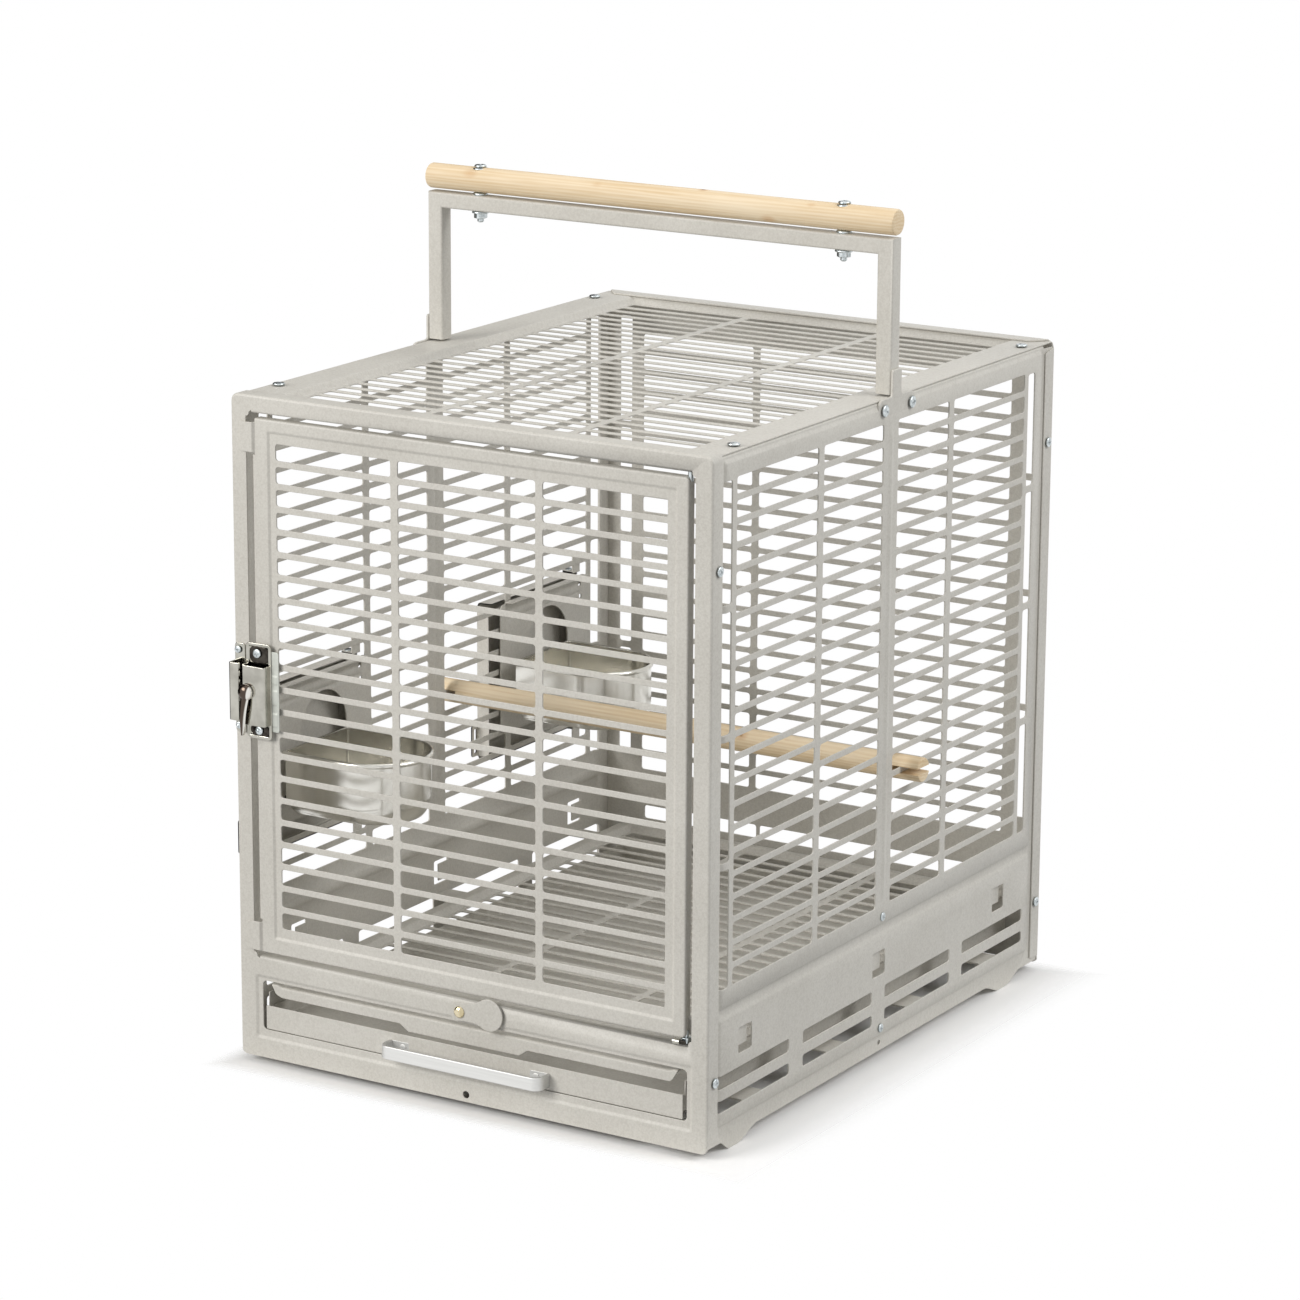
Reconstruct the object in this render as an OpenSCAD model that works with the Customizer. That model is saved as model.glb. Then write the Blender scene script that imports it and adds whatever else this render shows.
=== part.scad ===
/* [Body] */
// Width over the folded side edges
body_w = 371.2; // [345:0.4:400]
// Depth from the front face to the back face
body_d = 467.8; // [440:0.2:500]
// Height of the panels
body_h = 460; // [430:1:500]
// Thickness of the sheet metal
sheet_t = 1.2; // [1:0.1:1.5]
// How far the feet reach below the panels
foot_drop = 4.5; // [3.5:0.5:8]
// Depth of the folded edges of the front and back
flange_d = 13; // [11:0.5:14]
// Radius of the rounded corners of the front and back
corner_r = 5; // [3:0.5:7]

/* [Grille] */
// Height of one stamped slot
slot_h = 11.2; // [10:0.1:12]
// Height of the bar between two slots
bar_h = 4.2; // [3.4:0.1:5]
// Corner radius of a slot
slot_r = 2; // [1:0.1:3]
// From the middle to each upright bar of the door, back, top and floor
post_x = 56; // [45:1:66]
// Width of those upright bars
post_w = 5.7; // [4:0.1:8]
// From the slotted field of the back, top and floor to the side edge
field_margin = 32.6; // [31.6:0.1:40]
// Width of the upright bars of the side panels
side_bar_w = 7; // [5:0.5:9]
// Width of the middle stile of the side panels
stile_w = 20; // [16:0.5:24]
// Width of the narrow upright slots beside the fields
edge_slot_w = 10; // [8:0.5:10.5]
// How far the pressed areas stand out of the sheet
press_h = 1.1; // [0.6:0.1:1.1]
// Height of the rib on the middle stile
rib_h = 0.6; // [0.3:0.05:0.7]

/* [Door] */
// Bottom edge of the door opening above the panel bottom
door_sill = 72.3; // [71:0.1:74]
// Gap between the door and its opening
door_gap = 3.2; // [2.8:0.1:3.6]
// Depth of the door's folded edges
door_edge_d = 7; // [6:0.5:8]
// Radius of the hinge pins
hinge_r = 1.7; // [1.3:0.1:1.8]
// Free play between a pin and its bore
fit_gap = 0.05; // [0.02:0.01:0.1]

/* [Latch] */
// Height of the latch above the panel bottom
latch_z = 259.5; // [230:0.5:300]
// Length of the lever below its pivot
lever_l = 36; // [30:0.5:42]
// Radius of the lever's boss
boss_r = 5.5; // [5:0.1:6]
// Length of the catch inside the latch
catch_l = 12.2; // [11.5:0.1:12.6]

/* [Tray and floor] */
// Bottom edge of the tray opening above the panel bottom
tray_sill = 22; // [20.5:0.1:23]
// Height of the tray opening
tray_open_h = 31; // [30.5:0.1:31.5]
// Height of the tray's wall
tray_h = 12.5; // [10:0.1:13]
// Thickness of the tray's sheet
tray_t = 1; // [0.8:0.1:1.5]
// Width of the tray handle
tray_grip_w = 128; // [110:1:150]
// Height of the tray handle's strip
tray_grip_h = 9.4; // [8:0.1:9.6]
// Thickness of the tray handle's strip
tray_grip_t = 3; // [2:0.1:3.4]
// How far the tray handle stands in front of the front face
pull_reach = 11.6; // [11.6:0.1:15]
// Depth of the dished middle of the top and the floor
dish_d = 5; // [3.5:0.1:5]
// Length of the turn tab below its rivet
tab_l = 34; // [32:0.5:38]
// Radius of the turn tab's round end
tab_r = 11; // [9:0.1:11]
// Width of the turn tab's neck
tab_neck_w = 12.7; // [10:0.1:14]

/* [Carry handle] */
// Side of the square tube
tube_w = 12; // [10:0.5:13]
// Height of the tube's top above the panel bottom
tube_top = 564; // [540:1:600]
// Distance of the handle behind the front face
grip_y = 236; // [225:1:245]
// Diameter of the wooden grip
grip_d = 17.5; // [15:0.5:20]
// From the middle to each handle bolt
bolt_x = 144; // [120:1:155]

/* [Perch and feeders] */
// Diameter of the wooden perch
perch_d = 17; // [15:0.5:18]
// How far the perch reaches past the side panels
perch_out = 15.3; // [15:0.1:20]
// Width of the food bowls
bowl_w = 74; // [68:1:78]
// Depth of the food bowls, back to front
bowl_d = 88; // [78:1:92]
// Height of the food bowls
bowl_h = 43; // [36:1:46]
// Height of the feeder doors
flap_h = 118; // [110:1:120]
// Width of the feeder doors
flap_w = 120; // [112:1:122]
// Width of the arched feeder openings
arch_w = 63; // [56:1:66]

/* [Hidden] */
$fn = 48;
pitch = slot_h + bar_h;
hw = body_w / 2;
field_x = hw - field_margin;
front_y = -(body_d - pull_reach) / 2;
wall_x = hw - sheet_t - 0.1;
in_x = wall_x - sheet_t;
rows = floor((body_h - 121.2) / pitch);
field_h = rows * pitch - bar_h;
side_top = body_h - 17.6;
side_bot = side_top - field_h;
front_top = body_h - 31;
front_bot = front_top - field_h;
deck_rows = floor((body_d - 36.6) / pitch);
deck_d = deck_rows * pitch - bar_h;
deck_y0 = (body_d - deck_d) / 2 + 4.6;
door_x0 = -hw + 12.1;
door_x1 = hw - 12.6;
door_top = body_h - 11.8;
leaf_x0 = door_x0 + door_gap + 3.3;
leaf_x1 = door_x1 - door_gap + 0.2;
leaf_z0 = door_sill + 4.7;
leaf_z1 = door_top - door_gap;
hinge_x = leaf_x1 - 3;
hinge_y = 4;
tray_half = hw - 18.1;
tray_lid = tray_sill + tray_open_h;
rest_z = body_h - 2.6;
rim_z = body_h - sheet_t - 0.1;
grate_top = tray_lid - 0.4;
grate_bot = grate_top - sheet_t;
lip_z = grate_bot - 0.3;
tray_z = tray_sill + 1.5;
tray_y0 = 4;
tray_y1 = body_d - 9;
rivet_x = -4.4;
rivet_z = tray_lid + 10.4;
pad_x = wall_x + press_h;
plate_x = pad_x - 2 * sheet_t;
bowl_back = plate_x - 10.5;
latch_x = -hw + 15.1;
perch_z = side_top - slot_h - bar_h / 2 - (rows - 7) * pitch;
perch_y = 259;
flap_z0 = 133;
arch_sill = flap_z0 + 57;
paint = [0.72, 0.71, 0.67];
steel = [0.75, 0.76, 0.77];
wood = [0.9, 0.79, 0.6];
alu = [0.8, 0.81, 0.82];

front_panel();
back_panel();
left_panel();
right_panel();
top_panel();
floor_grate();
tray_pan();
tray_handle();
tray_rivets();
door_panel();
hinge_pins();
hinge_nuts();
latch_base();
latch_cover();
latch_lever();
latch_keeper();
latch_screws();
keeper_screws();
turn_tab();
tab_rivet();
handle_frame();
handle_brackets();
handle_grip();
handle_bolts();
handle_nuts();
bracket_screws();
panel_screws();
top_screws();
perch();
feeder_plate_front();
feeder_plate_rear();
feeder_door_front();
feeder_door_rear();
feeder_hinges();
feeder_pins();
bowl_front();
bowl_rear();
floor_ledges();
tray_ledges();
stile_screws();

// Measured frame: y from the front face, z from the panel bottom
module place() {
    translate([0, front_y, foot_drop]) children();
}

// Flat outline in x and z, standing up, from y to y + t
module upright(y, t) {
    translate([0, y + t, 0]) rotate([90, 0, 0]) linear_extrude(t) children();
}

// Flat outline in y and z, from x to x + t
module sidewise(x, t) {
    translate([x, 0, 0]) rotate([90, 0, 90]) linear_extrude(t) children();
}

module rsq(x0, y0, x1, y1, r) {
    translate([x0 + r, y0]) square([x1 - x0 - 2 * r, y1 - y0]);
    translate([x0, y0 + r]) square([x1 - x0, y1 - y0 - 2 * r]);
    for (x = [x0 + r, x1 - r])
        for (y = [y0 + r, y1 - r]) translate([x, y]) circle(r);
}

module ring(x0, y0, x1, y1, r, w) {
    difference() {
        rsq(x0, y0, x1, y1, r);
        rsq(x0 + w, y0 + w, x1 - w, y1 - w, max(r - w, 0.5));
    }
}

// Rows of slots between the listed edges, upward from y0
module slots(bays, y0, n) {
    for (b = bays)
        for (k = [0:n - 1]) rsq(b[0], y0 + k * pitch, b[1], y0 + k * pitch + slot_h, slot_r);
}

three_bays = [[-field_x, -post_x - post_w / 2], [-post_x + post_w / 2, post_x - post_w / 2],
    [post_x + post_w / 2, field_x]];

// Stacked narrow upright slots from x0 to x1
module edge_slots(x0) {
    for (k = [0:3])
        rsq(x0, side_bot + k * (field_h + 4) / 4, x0 + edge_slot_w,
            side_bot + (k + 1) * (field_h + 4) / 4 - 5, slot_r);
}

// Pressed area in u and v on a sheet, h proud, with sloping sides
module pad(u0, v0, u1, v1, h, ru, rv0, rv1) {
    intersection() {
        translate([0, v1, 0]) rotate([90, 0, 0]) linear_extrude(v1 - v0)
            polygon([[u0, -1], [u0, 0], [u0 + ru, h], [u1 - ru, h], [u1, 0], [u1, -1]]);
        translate([u0, 0, 0]) rotate([90, 0, 90]) linear_extrude(u1 - u0)
            polygon([[v0, -1], [v0, 0], [v0 + rv0, h], [v1 - rv1, h], [v1, 0], [v1, -1]]);
    }
}

// The same area pressed inwards in a front sheet: its bulge behind, or its hollow
module sunk(u0, v0, u1, v1, back) {
    translate([0, back ? sheet_t : 0, 0]) rotate([90, 0, 0]) mirror([0, 0, 1])
        pad(u0, v0, u1, v1, press_h, 2.4, 2.4, 2.4);
}

// Upside-down pyramid stump, half width x and y0 to y1 at the top z1
module stump(x, y0, y1, z0, z1, run, up) {
    intersection() {
        translate([0, y1 + run, 0]) rotate([90, 0, 0]) linear_extrude(y1 - y0 + 2 * run)
            polygon([[-x + run, z0], [x - run, z0], [x, z1], [x, z1 + up], [-x, z1 + up], [-x, z1]]);
        translate([-x - run, 0, 0]) rotate([90, 0, 90]) linear_extrude(2 * x + 2 * run)
            polygon([[y0 + run, z0], [y1 - run, z0], [y1, z1], [y1, z1 + up], [y0, z1 + up], [y0, z1]]);
    }
}

// Dished, slotted sheet: rim at z, field dish_d lower
module dished(rim_x, rim_y0, rim_y1, z) {
    x = field_x + 5;
    y0 = deck_y0 - 5;
    y1 = deck_y0 + deck_d + 5;
    difference() {
        union() {
            translate([-rim_x, rim_y0, z - sheet_t]) cube([2 * rim_x, rim_y1 - rim_y0, sheet_t]);
            stump(x + 0.9, y0 - 0.9, y1 + 0.9, z - dish_d - sheet_t, z - 0.2, 4, 0);
        }
        stump(x, y0, y1, z - dish_d, z, 4, 1);
        translate([0, 0, z - dish_d - sheet_t - 1]) linear_extrude(sheet_t + 2)
            slots(three_bays, deck_y0, deck_rows);
    }
}

// Rounds the long outer edge of a fold, along z
module edge_cut(x, y, sx, sy, r, z0, z1) {
    translate([0, 0, z0]) linear_extrude(z1 - z0) difference() {
        translate([min(x - sx, x + sx * r), min(y - sy, y + sy * r)]) square([r + 1, r + 1]);
        translate([x + sx * r, y + sy * r]) circle(r);
        translate([sx > 0 ? x + r : x - r - 5, y - 6]) square([5, 12]);
        translate([x - 6, sy > 0 ? y + r : y - r - 5]) square([12, 5]);
    }
}

module front_panel() color(paint) place() {
    difference() {
        union() {
            upright(0, sheet_t) difference() {
                rsq(-hw, 0, hw, body_h, corner_r);
                translate([door_x0, door_sill]) square([door_x1 - door_x0, door_top - door_sill]);
                for (x = [door_x0, door_x1])
                    for (z = [door_sill, door_top]) translate([x, z]) circle(2.6);
                translate([-1.1, 5.2]) circle(2);
                translate([rivet_x, rivet_z]) circle(2);
            }
            sunk(-tray_half - 5.2, tray_sill - 6.8, tray_half + 5.2, tray_lid + 3.7, true);
            for (s = [-1, 1]) translate([s > 0 ? hw - sheet_t : -hw, 0, corner_r])
                cube([sheet_t, flange_d, body_h - 2 * corner_r]);
            translate([-hw + corner_r, 0, body_h - sheet_t]) cube([body_w - 2 * corner_r, flange_d, sheet_t]);
            translate([-hw + 16, 0, door_top]) cube([door_x1 + hw - 18, 10, sheet_t]);
            translate([-hw + 16, 0, door_sill - sheet_t]) cube([door_x1 + hw - 18, 10, sheet_t]);
        }
        sunk(-tray_half - 5.2, tray_sill - 6.8, tray_half + 5.2, tray_lid + 3.7, false);
        upright(-1, sheet_t + 5) rsq(-tray_half, tray_sill, tray_half, tray_lid, 3);
        for (s = [-1, 1]) edge_cut(s * hw, 0, -s, 1, 1.1, -1, body_h + 1);
        for (z = [door_sill - 3, door_top - 1]) translate([hinge_x, hinge_y, z])
            cylinder(r = hinge_r, h = 5);
        for (s = [-1, 1]) for (z = [47.2, body_h - 74.4])
            translate([s * hw, 8, z]) rotate([0, 90, 0]) cylinder(r = 2, h = 4, center = true);
    }
}

module back_panel() color(paint) place() translate([0, body_d, 0]) mirror([0, 1, 0]) {
    difference() {
        union() {
            upright(0, sheet_t) difference() {
                rsq(-hw, 0, hw, body_h, corner_r);
                slots(three_bays, front_bot, rows);
                edge_slots(-field_x - 20);
                edge_slots(field_x + 20 - edge_slot_w);
                for (k = [0:2]) rsq(-150 + k * 101, 56, -52 + k * 101, 66, slot_r);
            }
            for (s = [-1, 1]) translate([s > 0 ? hw - sheet_t : -hw, 0, corner_r])
                cube([sheet_t, flange_d, body_h - 2 * corner_r]);
            translate([0, 0, body_h - sheet_t]) linear_extrude(sheet_t)
                polygon([[-hw + corner_r, 0], [hw - corner_r, 0], [hw - corner_r, 2], [hw - 14, flange_d],
                    [-hw + 14, flange_d], [-hw + corner_r, 2]]);
        }
        for (s = [-1, 1]) edge_cut(s * hw, 0, -s, 1, 1.1, -1, body_h + 1);
        for (s = [-1, 1]) for (z = [48.7, body_h - 72.1])
            translate([s * hw, 8, z]) rotate([0, 90, 0]) cylinder(r = 2, h = 4, center = true);
    }
}

stile_c = 229;
side_y0 = 29;
side_y1 = body_d - 45.8;
side_bays = [[side_y0, 136 - side_bar_w / 2], [136 + side_bar_w / 2, stile_c - stile_w / 2],
    [stile_c + stile_w / 2, 314 - side_bar_w / 2], [314 + side_bar_w / 2, side_y1]];
hook_ys = [47, 226, body_d - 66.8];
stile_screw_zs = [side_bot - 8, 20];
vents = [[13, 104.5], [123, 217.4], [235.3, 329], [347.6, body_d - 28.8]];

module foot(y0, y1, y2, y3) {
    polygon([[y0, 6], [y0, 2.5], [y1, -foot_drop], [y2, -foot_drop], [y3, 2.5], [y3, 6]]);
}

module side_blank() {
    translate([sheet_t + 0.1, 2.5]) square([body_d - 2 * sheet_t - 0.2, rest_z - 2.5]);
    foot(20, 30, 42, 56);
    foot(body_d - 80, body_d - 64, body_d - 46, body_d - 28);
}

module side_holes() {
    slots(side_bays, side_bot, rows);
    edge_slots(24.5 - edge_slot_w);
    edge_slots(side_y1 + 5.5);
    for (y = hook_ys) rsq(y - 8.5, lip_z + 7, y + 8.5, lip_z + 24, 1);
    for (v = vents) {
        rsq(v[0], tray_sill + 18, v[1], tray_sill + 27, slot_r);
        rsq(v[0], tray_sill + 2, v[1], tray_sill + 10, slot_r);
    }
    translate([231, 8]) circle(1.6);
}

// The pressed areas of a side: round the grille, and the band below it
module side_pads() {
    pad(sheet_t + flange_d + 0.2, side_bot - 16, body_d - 18, side_top + 4.6, press_h, 2, 6, 2.6);
    pad(sheet_t + flange_d + 0.2, 11.5, body_d - 18, side_bot - 20, press_h, 2, 5, 2.4);
}

// One side stamping, in its place on the right
module side_sheet() {
    difference() {
        union() {
            difference() {
                union() {
                    sidewise(in_x, sheet_t) side_blank();
                    translate([wall_x, 0, 0]) rotate([90, 0, 90]) side_pads();
                    sidewise(pad_x - 0.2, rib_h + 0.2)
                        translate([stile_c - 2, side_bot + 2]) square([4, field_h - 4]);
                }
                translate([in_x, 0, 0]) rotate([90, 0, 90]) side_pads();
                sidewise(in_x - 1, 6) side_holes();
            }
            translate([hw - 16, sheet_t + flange_d, rest_z - sheet_t])
                cube([wall_x - hw + 16, body_d - 2 * (sheet_t + flange_d), sheet_t]);
        }
        for (y = [8, body_d - 8]) for (z = [47.2, 48.7, body_h - 72.1, body_h - 74.4])
            translate([wall_x, y, z]) rotate([0, 90, 0]) cylinder(r = 2.6, h = 6, center = true);
        for (y = [grip_y - 18.4, grip_y + 18.7, body_d - grip_y + 18.4, body_d - grip_y - 18.7])
            translate([wall_x, y, body_h - 8]) rotate([0, 90, 0]) cylinder(r = 1.9, h = 6, center = true);
        for (y = [41, body_d - 32.8, 32.8, body_d - 41]) translate([hw - 9.6, y, rest_z - 3])
            cylinder(r = 1.9, h = 6);
        for (z = stile_screw_zs) translate([wall_x, stile_c, z]) rotate([0, 90, 0])
            cylinder(r = 1.9, h = 8, center = true);
    }
}

module right_panel() color(paint) place() side_sheet();

// Ledges under the floor, one at each lanced window
module floor_ledges() color(paint) place()
    for (s = [-1, 1]) for (y = hook_ys)
        translate([s > 0 ? tray_half - 6.7 : sheet_t - pad_x, (s > 0 ? y : body_d - y) - 8.5, lip_z - sheet_t])
            cube([pad_x - sheet_t - tray_half + 6.7, 17, sheet_t]);

// Ledges under the tray
module tray_ledges() color(paint) place()
    for (s = [-1, 1]) for (k = [0:3]) let (y = 60 + k * (body_d - 136) / 3)
        translate([s > 0 ? tray_half - 10 : sheet_t - pad_x, (s > 0 ? y : body_d - y) - 12, tray_z - 0.3 - sheet_t])
            cube([pad_x - sheet_t - tray_half + 10, 24, sheet_t]);

arch_ys = [102.5, body_d - 80.3];
module left_panel() color(paint) place() difference() {
    translate([0, body_d, 0]) rotate([0, 0, 180]) side_sheet();
    for (y = arch_ys) translate([-wall_x - 2, y - 36, flap_z0 + 32]) cube([6, 72, 73]);
}

module top_panel() color(paint) place() difference() {
    dished(in_x + 0.5, sheet_t + 0.1, body_d - sheet_t - 0.1, rim_z);
    for (s = [-1, 1]) for (y = [41, body_d - 32.8]) translate([s * (hw - 9.6), y, rim_z - 3])
        cylinder(r = 1.9, h = 6);
}

module floor_grate() color(paint) place() {
    dished(tray_half - 2.5, tray_y0, body_d - 8, grate_top);
    upright(tray_y0, sheet_t) polygon([[-160, grate_top], [-152, tray_lid - 10], [-56, tray_lid - 10],
        [-49, tray_lid - 14], [37, tray_lid - 14], [44, tray_lid - 10], [143, tray_lid - 10], [150, grate_top]]);
}

module tray_pan() color(paint) place() difference() {
    translate([0, 0, tray_z]) linear_extrude(tray_h)
        rsq(-tray_half + 3, tray_y0, tray_half - 3, tray_y1, 3);
    translate([0, 0, tray_z + tray_t]) linear_extrude(tray_h)
        rsq(-tray_half + 3 + tray_t, tray_y0 + tray_t, tray_half - 3 - tray_t, tray_y1 - tray_t, 3 - tray_t);
    for (s = [-1, 1]) translate([s * (tray_grip_w / 2 - 11), tray_y0, tray_sill + 5.5])
        rotate([90, 0, 0]) cylinder(r = 1.6, h = 6, center = true);
}

module tray_handle() color(alu) place() difference() {
    translate([0, 0, tray_sill + 0.6]) linear_extrude(tray_grip_h) difference() {
        union() {
            rsq(-tray_grip_w / 2, -pull_reach, tray_grip_w / 2, tray_y0 + 8, 6);
        }
        rsq(-tray_grip_w / 2 + tray_grip_t, -pull_reach + tray_grip_t, tray_grip_w / 2 - tray_grip_t,
            tray_y0 - 2, 2.5);
        translate([-tray_grip_w / 2 + 16, -pull_reach + tray_grip_t]) square([tray_grip_w - 32, 40]);
        translate([-tray_grip_w, tray_y0]) square([2 * tray_grip_w, 20]);
    }
    for (s = [-1, 1]) translate([s * (tray_grip_w / 2 - 11), tray_y0, tray_sill + 5.5])
        rotate([90, 0, 0]) cylinder(r = 1.6, h = 10, center = true);
}

module tray_rivets() color(alu) place()
    for (s = [-1, 1]) translate([s * (tray_grip_w / 2 - 11), tray_y0 + tray_t, tray_sill + 5.5]) rotate([90, 0, 0]) {
        cylinder(r = 1.6, h = 3 + tray_t);
        translate([0, 0, -1]) cylinder(r = 2.7, h = 1);
        translate([0, 0, 2 + tray_t]) cylinder(r = 2.7, h = 1);
    }

module door_sunk(back) {
    sunk(-field_x - 8, front_bot - 8.5, field_x + 8, front_top + 8.5, back);
}

module door_panel() color(paint) place() difference() {
    union() {
        difference() {
            union() {
                upright(0, sheet_t) rsq(leaf_x0, leaf_z0, leaf_x1, leaf_z1, 3);
                door_sunk(true);
            }
            door_sunk(false);
            upright(-1, sheet_t + 4) slots([[-field_x - 0.8, -post_x - post_w / 2],
                [-post_x + post_w / 2, post_x - post_w / 2], [post_x + post_w / 2, field_x + 0.8]], front_bot, rows);
        }
        for (z = [leaf_z0 + 0.6, leaf_z1 - 23]) {
            translate([leaf_x0 - 10, -0.4 - sheet_t, z]) cube([12, sheet_t, 20]);
            translate([leaf_x0, -0.4 - sheet_t, z]) cube([2, 0.6 + sheet_t, 20]);
        }
        translate([leaf_x0, 0, leaf_z0 + 3]) cube([sheet_t, door_edge_d, leaf_z1 - leaf_z0 - 6]);
        translate([leaf_x1 - sheet_t, 0, leaf_z0 + 8]) cube([sheet_t, door_edge_d, leaf_z1 - leaf_z0 - 16]);
        for (z = [leaf_z0, leaf_z1 - sheet_t])
            translate([leaf_x0 + 3, 0, z]) cube([leaf_x1 - leaf_x0 - 4, door_edge_d, sheet_t]);
    }
    for (z = [leaf_z0 - 1, leaf_z1 - 4]) translate([hinge_x, hinge_y, z])
        cylinder(r = hinge_r + fit_gap, h = 5);
    for (z = [latch_z - 26, latch_z + 26.5]) translate([latch_x + 7.5, 0, z]) rotate([90, 0, 0])
        cylinder(r = 1.7, h = 6, center = true);
}

pin_head_r = hinge_y - sheet_t - 0.3;
module hinge_pins() color(steel) place() translate([hinge_x, hinge_y, 0]) {
    translate([0, 0, leaf_z1 - 4]) cylinder(r = hinge_r, h = door_top + sheet_t - leaf_z1 + 4);
    translate([0, 0, door_top + sheet_t]) cylinder(r = pin_head_r, h = 1.5);
    translate([0, 0, door_sill - sheet_t]) cylinder(r = hinge_r, h = leaf_z0 + 4 - door_sill + sheet_t);
    translate([0, 0, door_sill - sheet_t - 1.5]) cylinder(r = pin_head_r, h = 1.5);
}

module nut(r, h, bore) {
    linear_extrude(h) difference() {
        polygon([for (k = [0:5]) [r * cos(60 * k), r * sin(60 * k)]]);
        circle(bore);
    }
}

module hinge_nuts() color(steel) place() translate([hinge_x, hinge_y, 0]) {
    translate([0, 0, door_sill]) nut(3.6, leaf_z0 - door_sill - 0.3, hinge_r);
}

module latch_base() color(steel) place() difference() {
    upright(-1.6, 1.2) rsq(latch_x - 4, latch_z - 33, latch_x + 17, latch_z + 33, 2.5);
    for (z = [latch_z - 26, latch_z + 26.5]) translate([latch_x + 7.5, 0, z]) rotate([90, 0, 0])
        cylinder(r = 1.7, h = 6, center = true);
}

// Box cover of the latch, open towards the keeper
module latch_cover() color(steel) place() difference() {
    union() {
        upright(-7.6, 6) rsq(latch_x - 4, latch_z - 23, latch_x + 13, latch_z + 18, 2);
        translate([latch_x, -7.5, latch_z]) rotate([90, 0, 0]) cylinder(r = boss_r - 1, h = 0.6);
    }
    translate([latch_x - 10, -6.6, latch_z - 21.8]) cube([21.8, 5.1, 38.6]);
    translate([latch_x, -5, latch_z]) rotate([90, 0, 0]) cylinder(r = 2.2 + fit_gap, h = 10, center = true);
}

module latch_lever() color(steel) place() translate([latch_x, 0, latch_z]) {
    translate([0, -4, 0]) rotate([90, 0, 0]) cylinder(r = 2.2, h = 4.6);
    translate([0, -8.5, 0]) rotate([90, 0, 0]) cylinder(r = boss_r, h = 2);
    translate([0, -10.5, 0]) rotate([90, 0, 0]) cylinder(r1 = boss_r, r2 = boss_r - 1.6, h = 0.7);
    upright(-10.2, 1.5) {
        polygon([[-3.6, 0], [3.6, 0], [2.6, -lever_l + 3], [-2.6, -lever_l + 3]]);
        translate([0, -lever_l + 3]) circle(2.9);
    }
    upright(-5.4, 1.6) {
        translate([-2.6, 0]) square([5.2, catch_l - 2.6]);
        translate([0, catch_l - 2.6]) circle(2.6);
        circle(3);
    }
}

module latch_keeper() color(steel) place() difference() {
    union() {
        upright(-1.2, 1.2) rsq(-hw + 1, latch_z - 31, -hw + 9.2, latch_z + 31, 2);
        upright(-9, 9) rsq(-hw + 1, latch_z - 21, -hw + 9.2, latch_z + 19, 1.5);
    }
    translate([-hw - 1, -7.8, latch_z - 19.8]) cube([20, 6.6, 37.6]);
    for (z = [latch_z - 26, latch_z + 26.5]) translate([-hw + 5.2, 0, z]) rotate([90, 0, 0])
        cylinder(r = 1.3, h = 6, center = true);
}

module pan_screw(r, h, shank, l) {
    cylinder(r = shank, h = l);
    translate([0, 0, l]) difference() {
        union() {
            cylinder(r = r, h = 0.55 * h);
            translate([0, 0, 0.55 * h]) cylinder(r1 = r, r2 = 0.6 * r, h = 0.45 * h);
        }
        for (a = [0, 90]) rotate([0, 0, a]) translate([-0.55 * r, -0.35, 0.55 * h])
            cube([1.1 * r, 0.7, h]);
    }
}

module latch_screws() color(steel) place()
    for (z = [latch_z - 26, latch_z + 26.5]) translate([latch_x + 7.5, sheet_t, z]) rotate([90, 0, 0])
        pan_screw(3, 1.8, 1.6, sheet_t + 1.6);

module keeper_screws() color(steel) place()
    for (z = [latch_z - 26, latch_z + 26.5]) translate([-hw + 5.2, 0, z]) rotate([90, 0, 0])
        pan_screw(2.4, 1.6, 1.2, 1.2);

// Stored turned aside, so that the tray and the floor can come out
tab_rest = 94;
module turn_tab() color(paint) place() translate([rivet_x, 0, rivet_z]) rotate([0, -tab_rest, 0])
    upright(-2.5, 1.2) difference() {
        union() {
            circle(tab_neck_w / 2);
            polygon([[-tab_neck_w / 2, 0], [-tab_neck_w / 2, -tab_l / 2], [-tab_r, -tab_l + tab_r],
                [tab_r, -tab_l + tab_r], [tab_neck_w / 2, -tab_l / 2], [tab_neck_w / 2, 0]]);
            translate([0, -tab_l + tab_r]) circle(tab_r);
        }
        circle(2 + fit_gap);
    }

module tab_rivet() color(steel) place() translate([rivet_x, 0, rivet_z]) rotate([90, 0, 0]) {
    translate([0, 0, -sheet_t - 0.8]) cylinder(r = 2, h = sheet_t + 3.4);
    translate([0, 0, -sheet_t - 0.8]) cylinder(r = 3.2, h = 0.8);
    cylinder(r = 4, h = 1.2);
    translate([0, 0, 2.6]) cylinder(r = 3.4, h = 0.7);
    translate([0, 0, 3.3]) cylinder(r1 = 3.4, r2 = 2, h = 0.8);
}

module handle_frame() color(paint) place() {
    leg_x = wall_x - tube_w;
    difference() {
        union() {
            for (s = [-1, 1]) translate([s > 0 ? leg_x : -wall_x, grip_y - tube_w / 2, body_h + 0.1]) difference() {
                cube([tube_w, tube_w, tube_top - body_h - 0.1]);
                translate([1.2, 1.2, -1]) cube([tube_w - 2.4, tube_w - 2.4, tube_top - body_h - tube_w]);
            }
            translate([-wall_x, grip_y - tube_w / 2, tube_top - tube_w + 1]) difference() {
                cube([2 * wall_x, tube_w, tube_w - 1]);
                translate([tube_w, 1.2, 1.2]) cube([2 * wall_x - 2 * tube_w, tube_w - 2.4, tube_w - 3.4]);
            }
        }
        for (s = [-1, 1]) translate([s * bolt_x, grip_y, tube_top - 20]) cylinder(r = 2.6, h = 40);
    }
}

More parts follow.
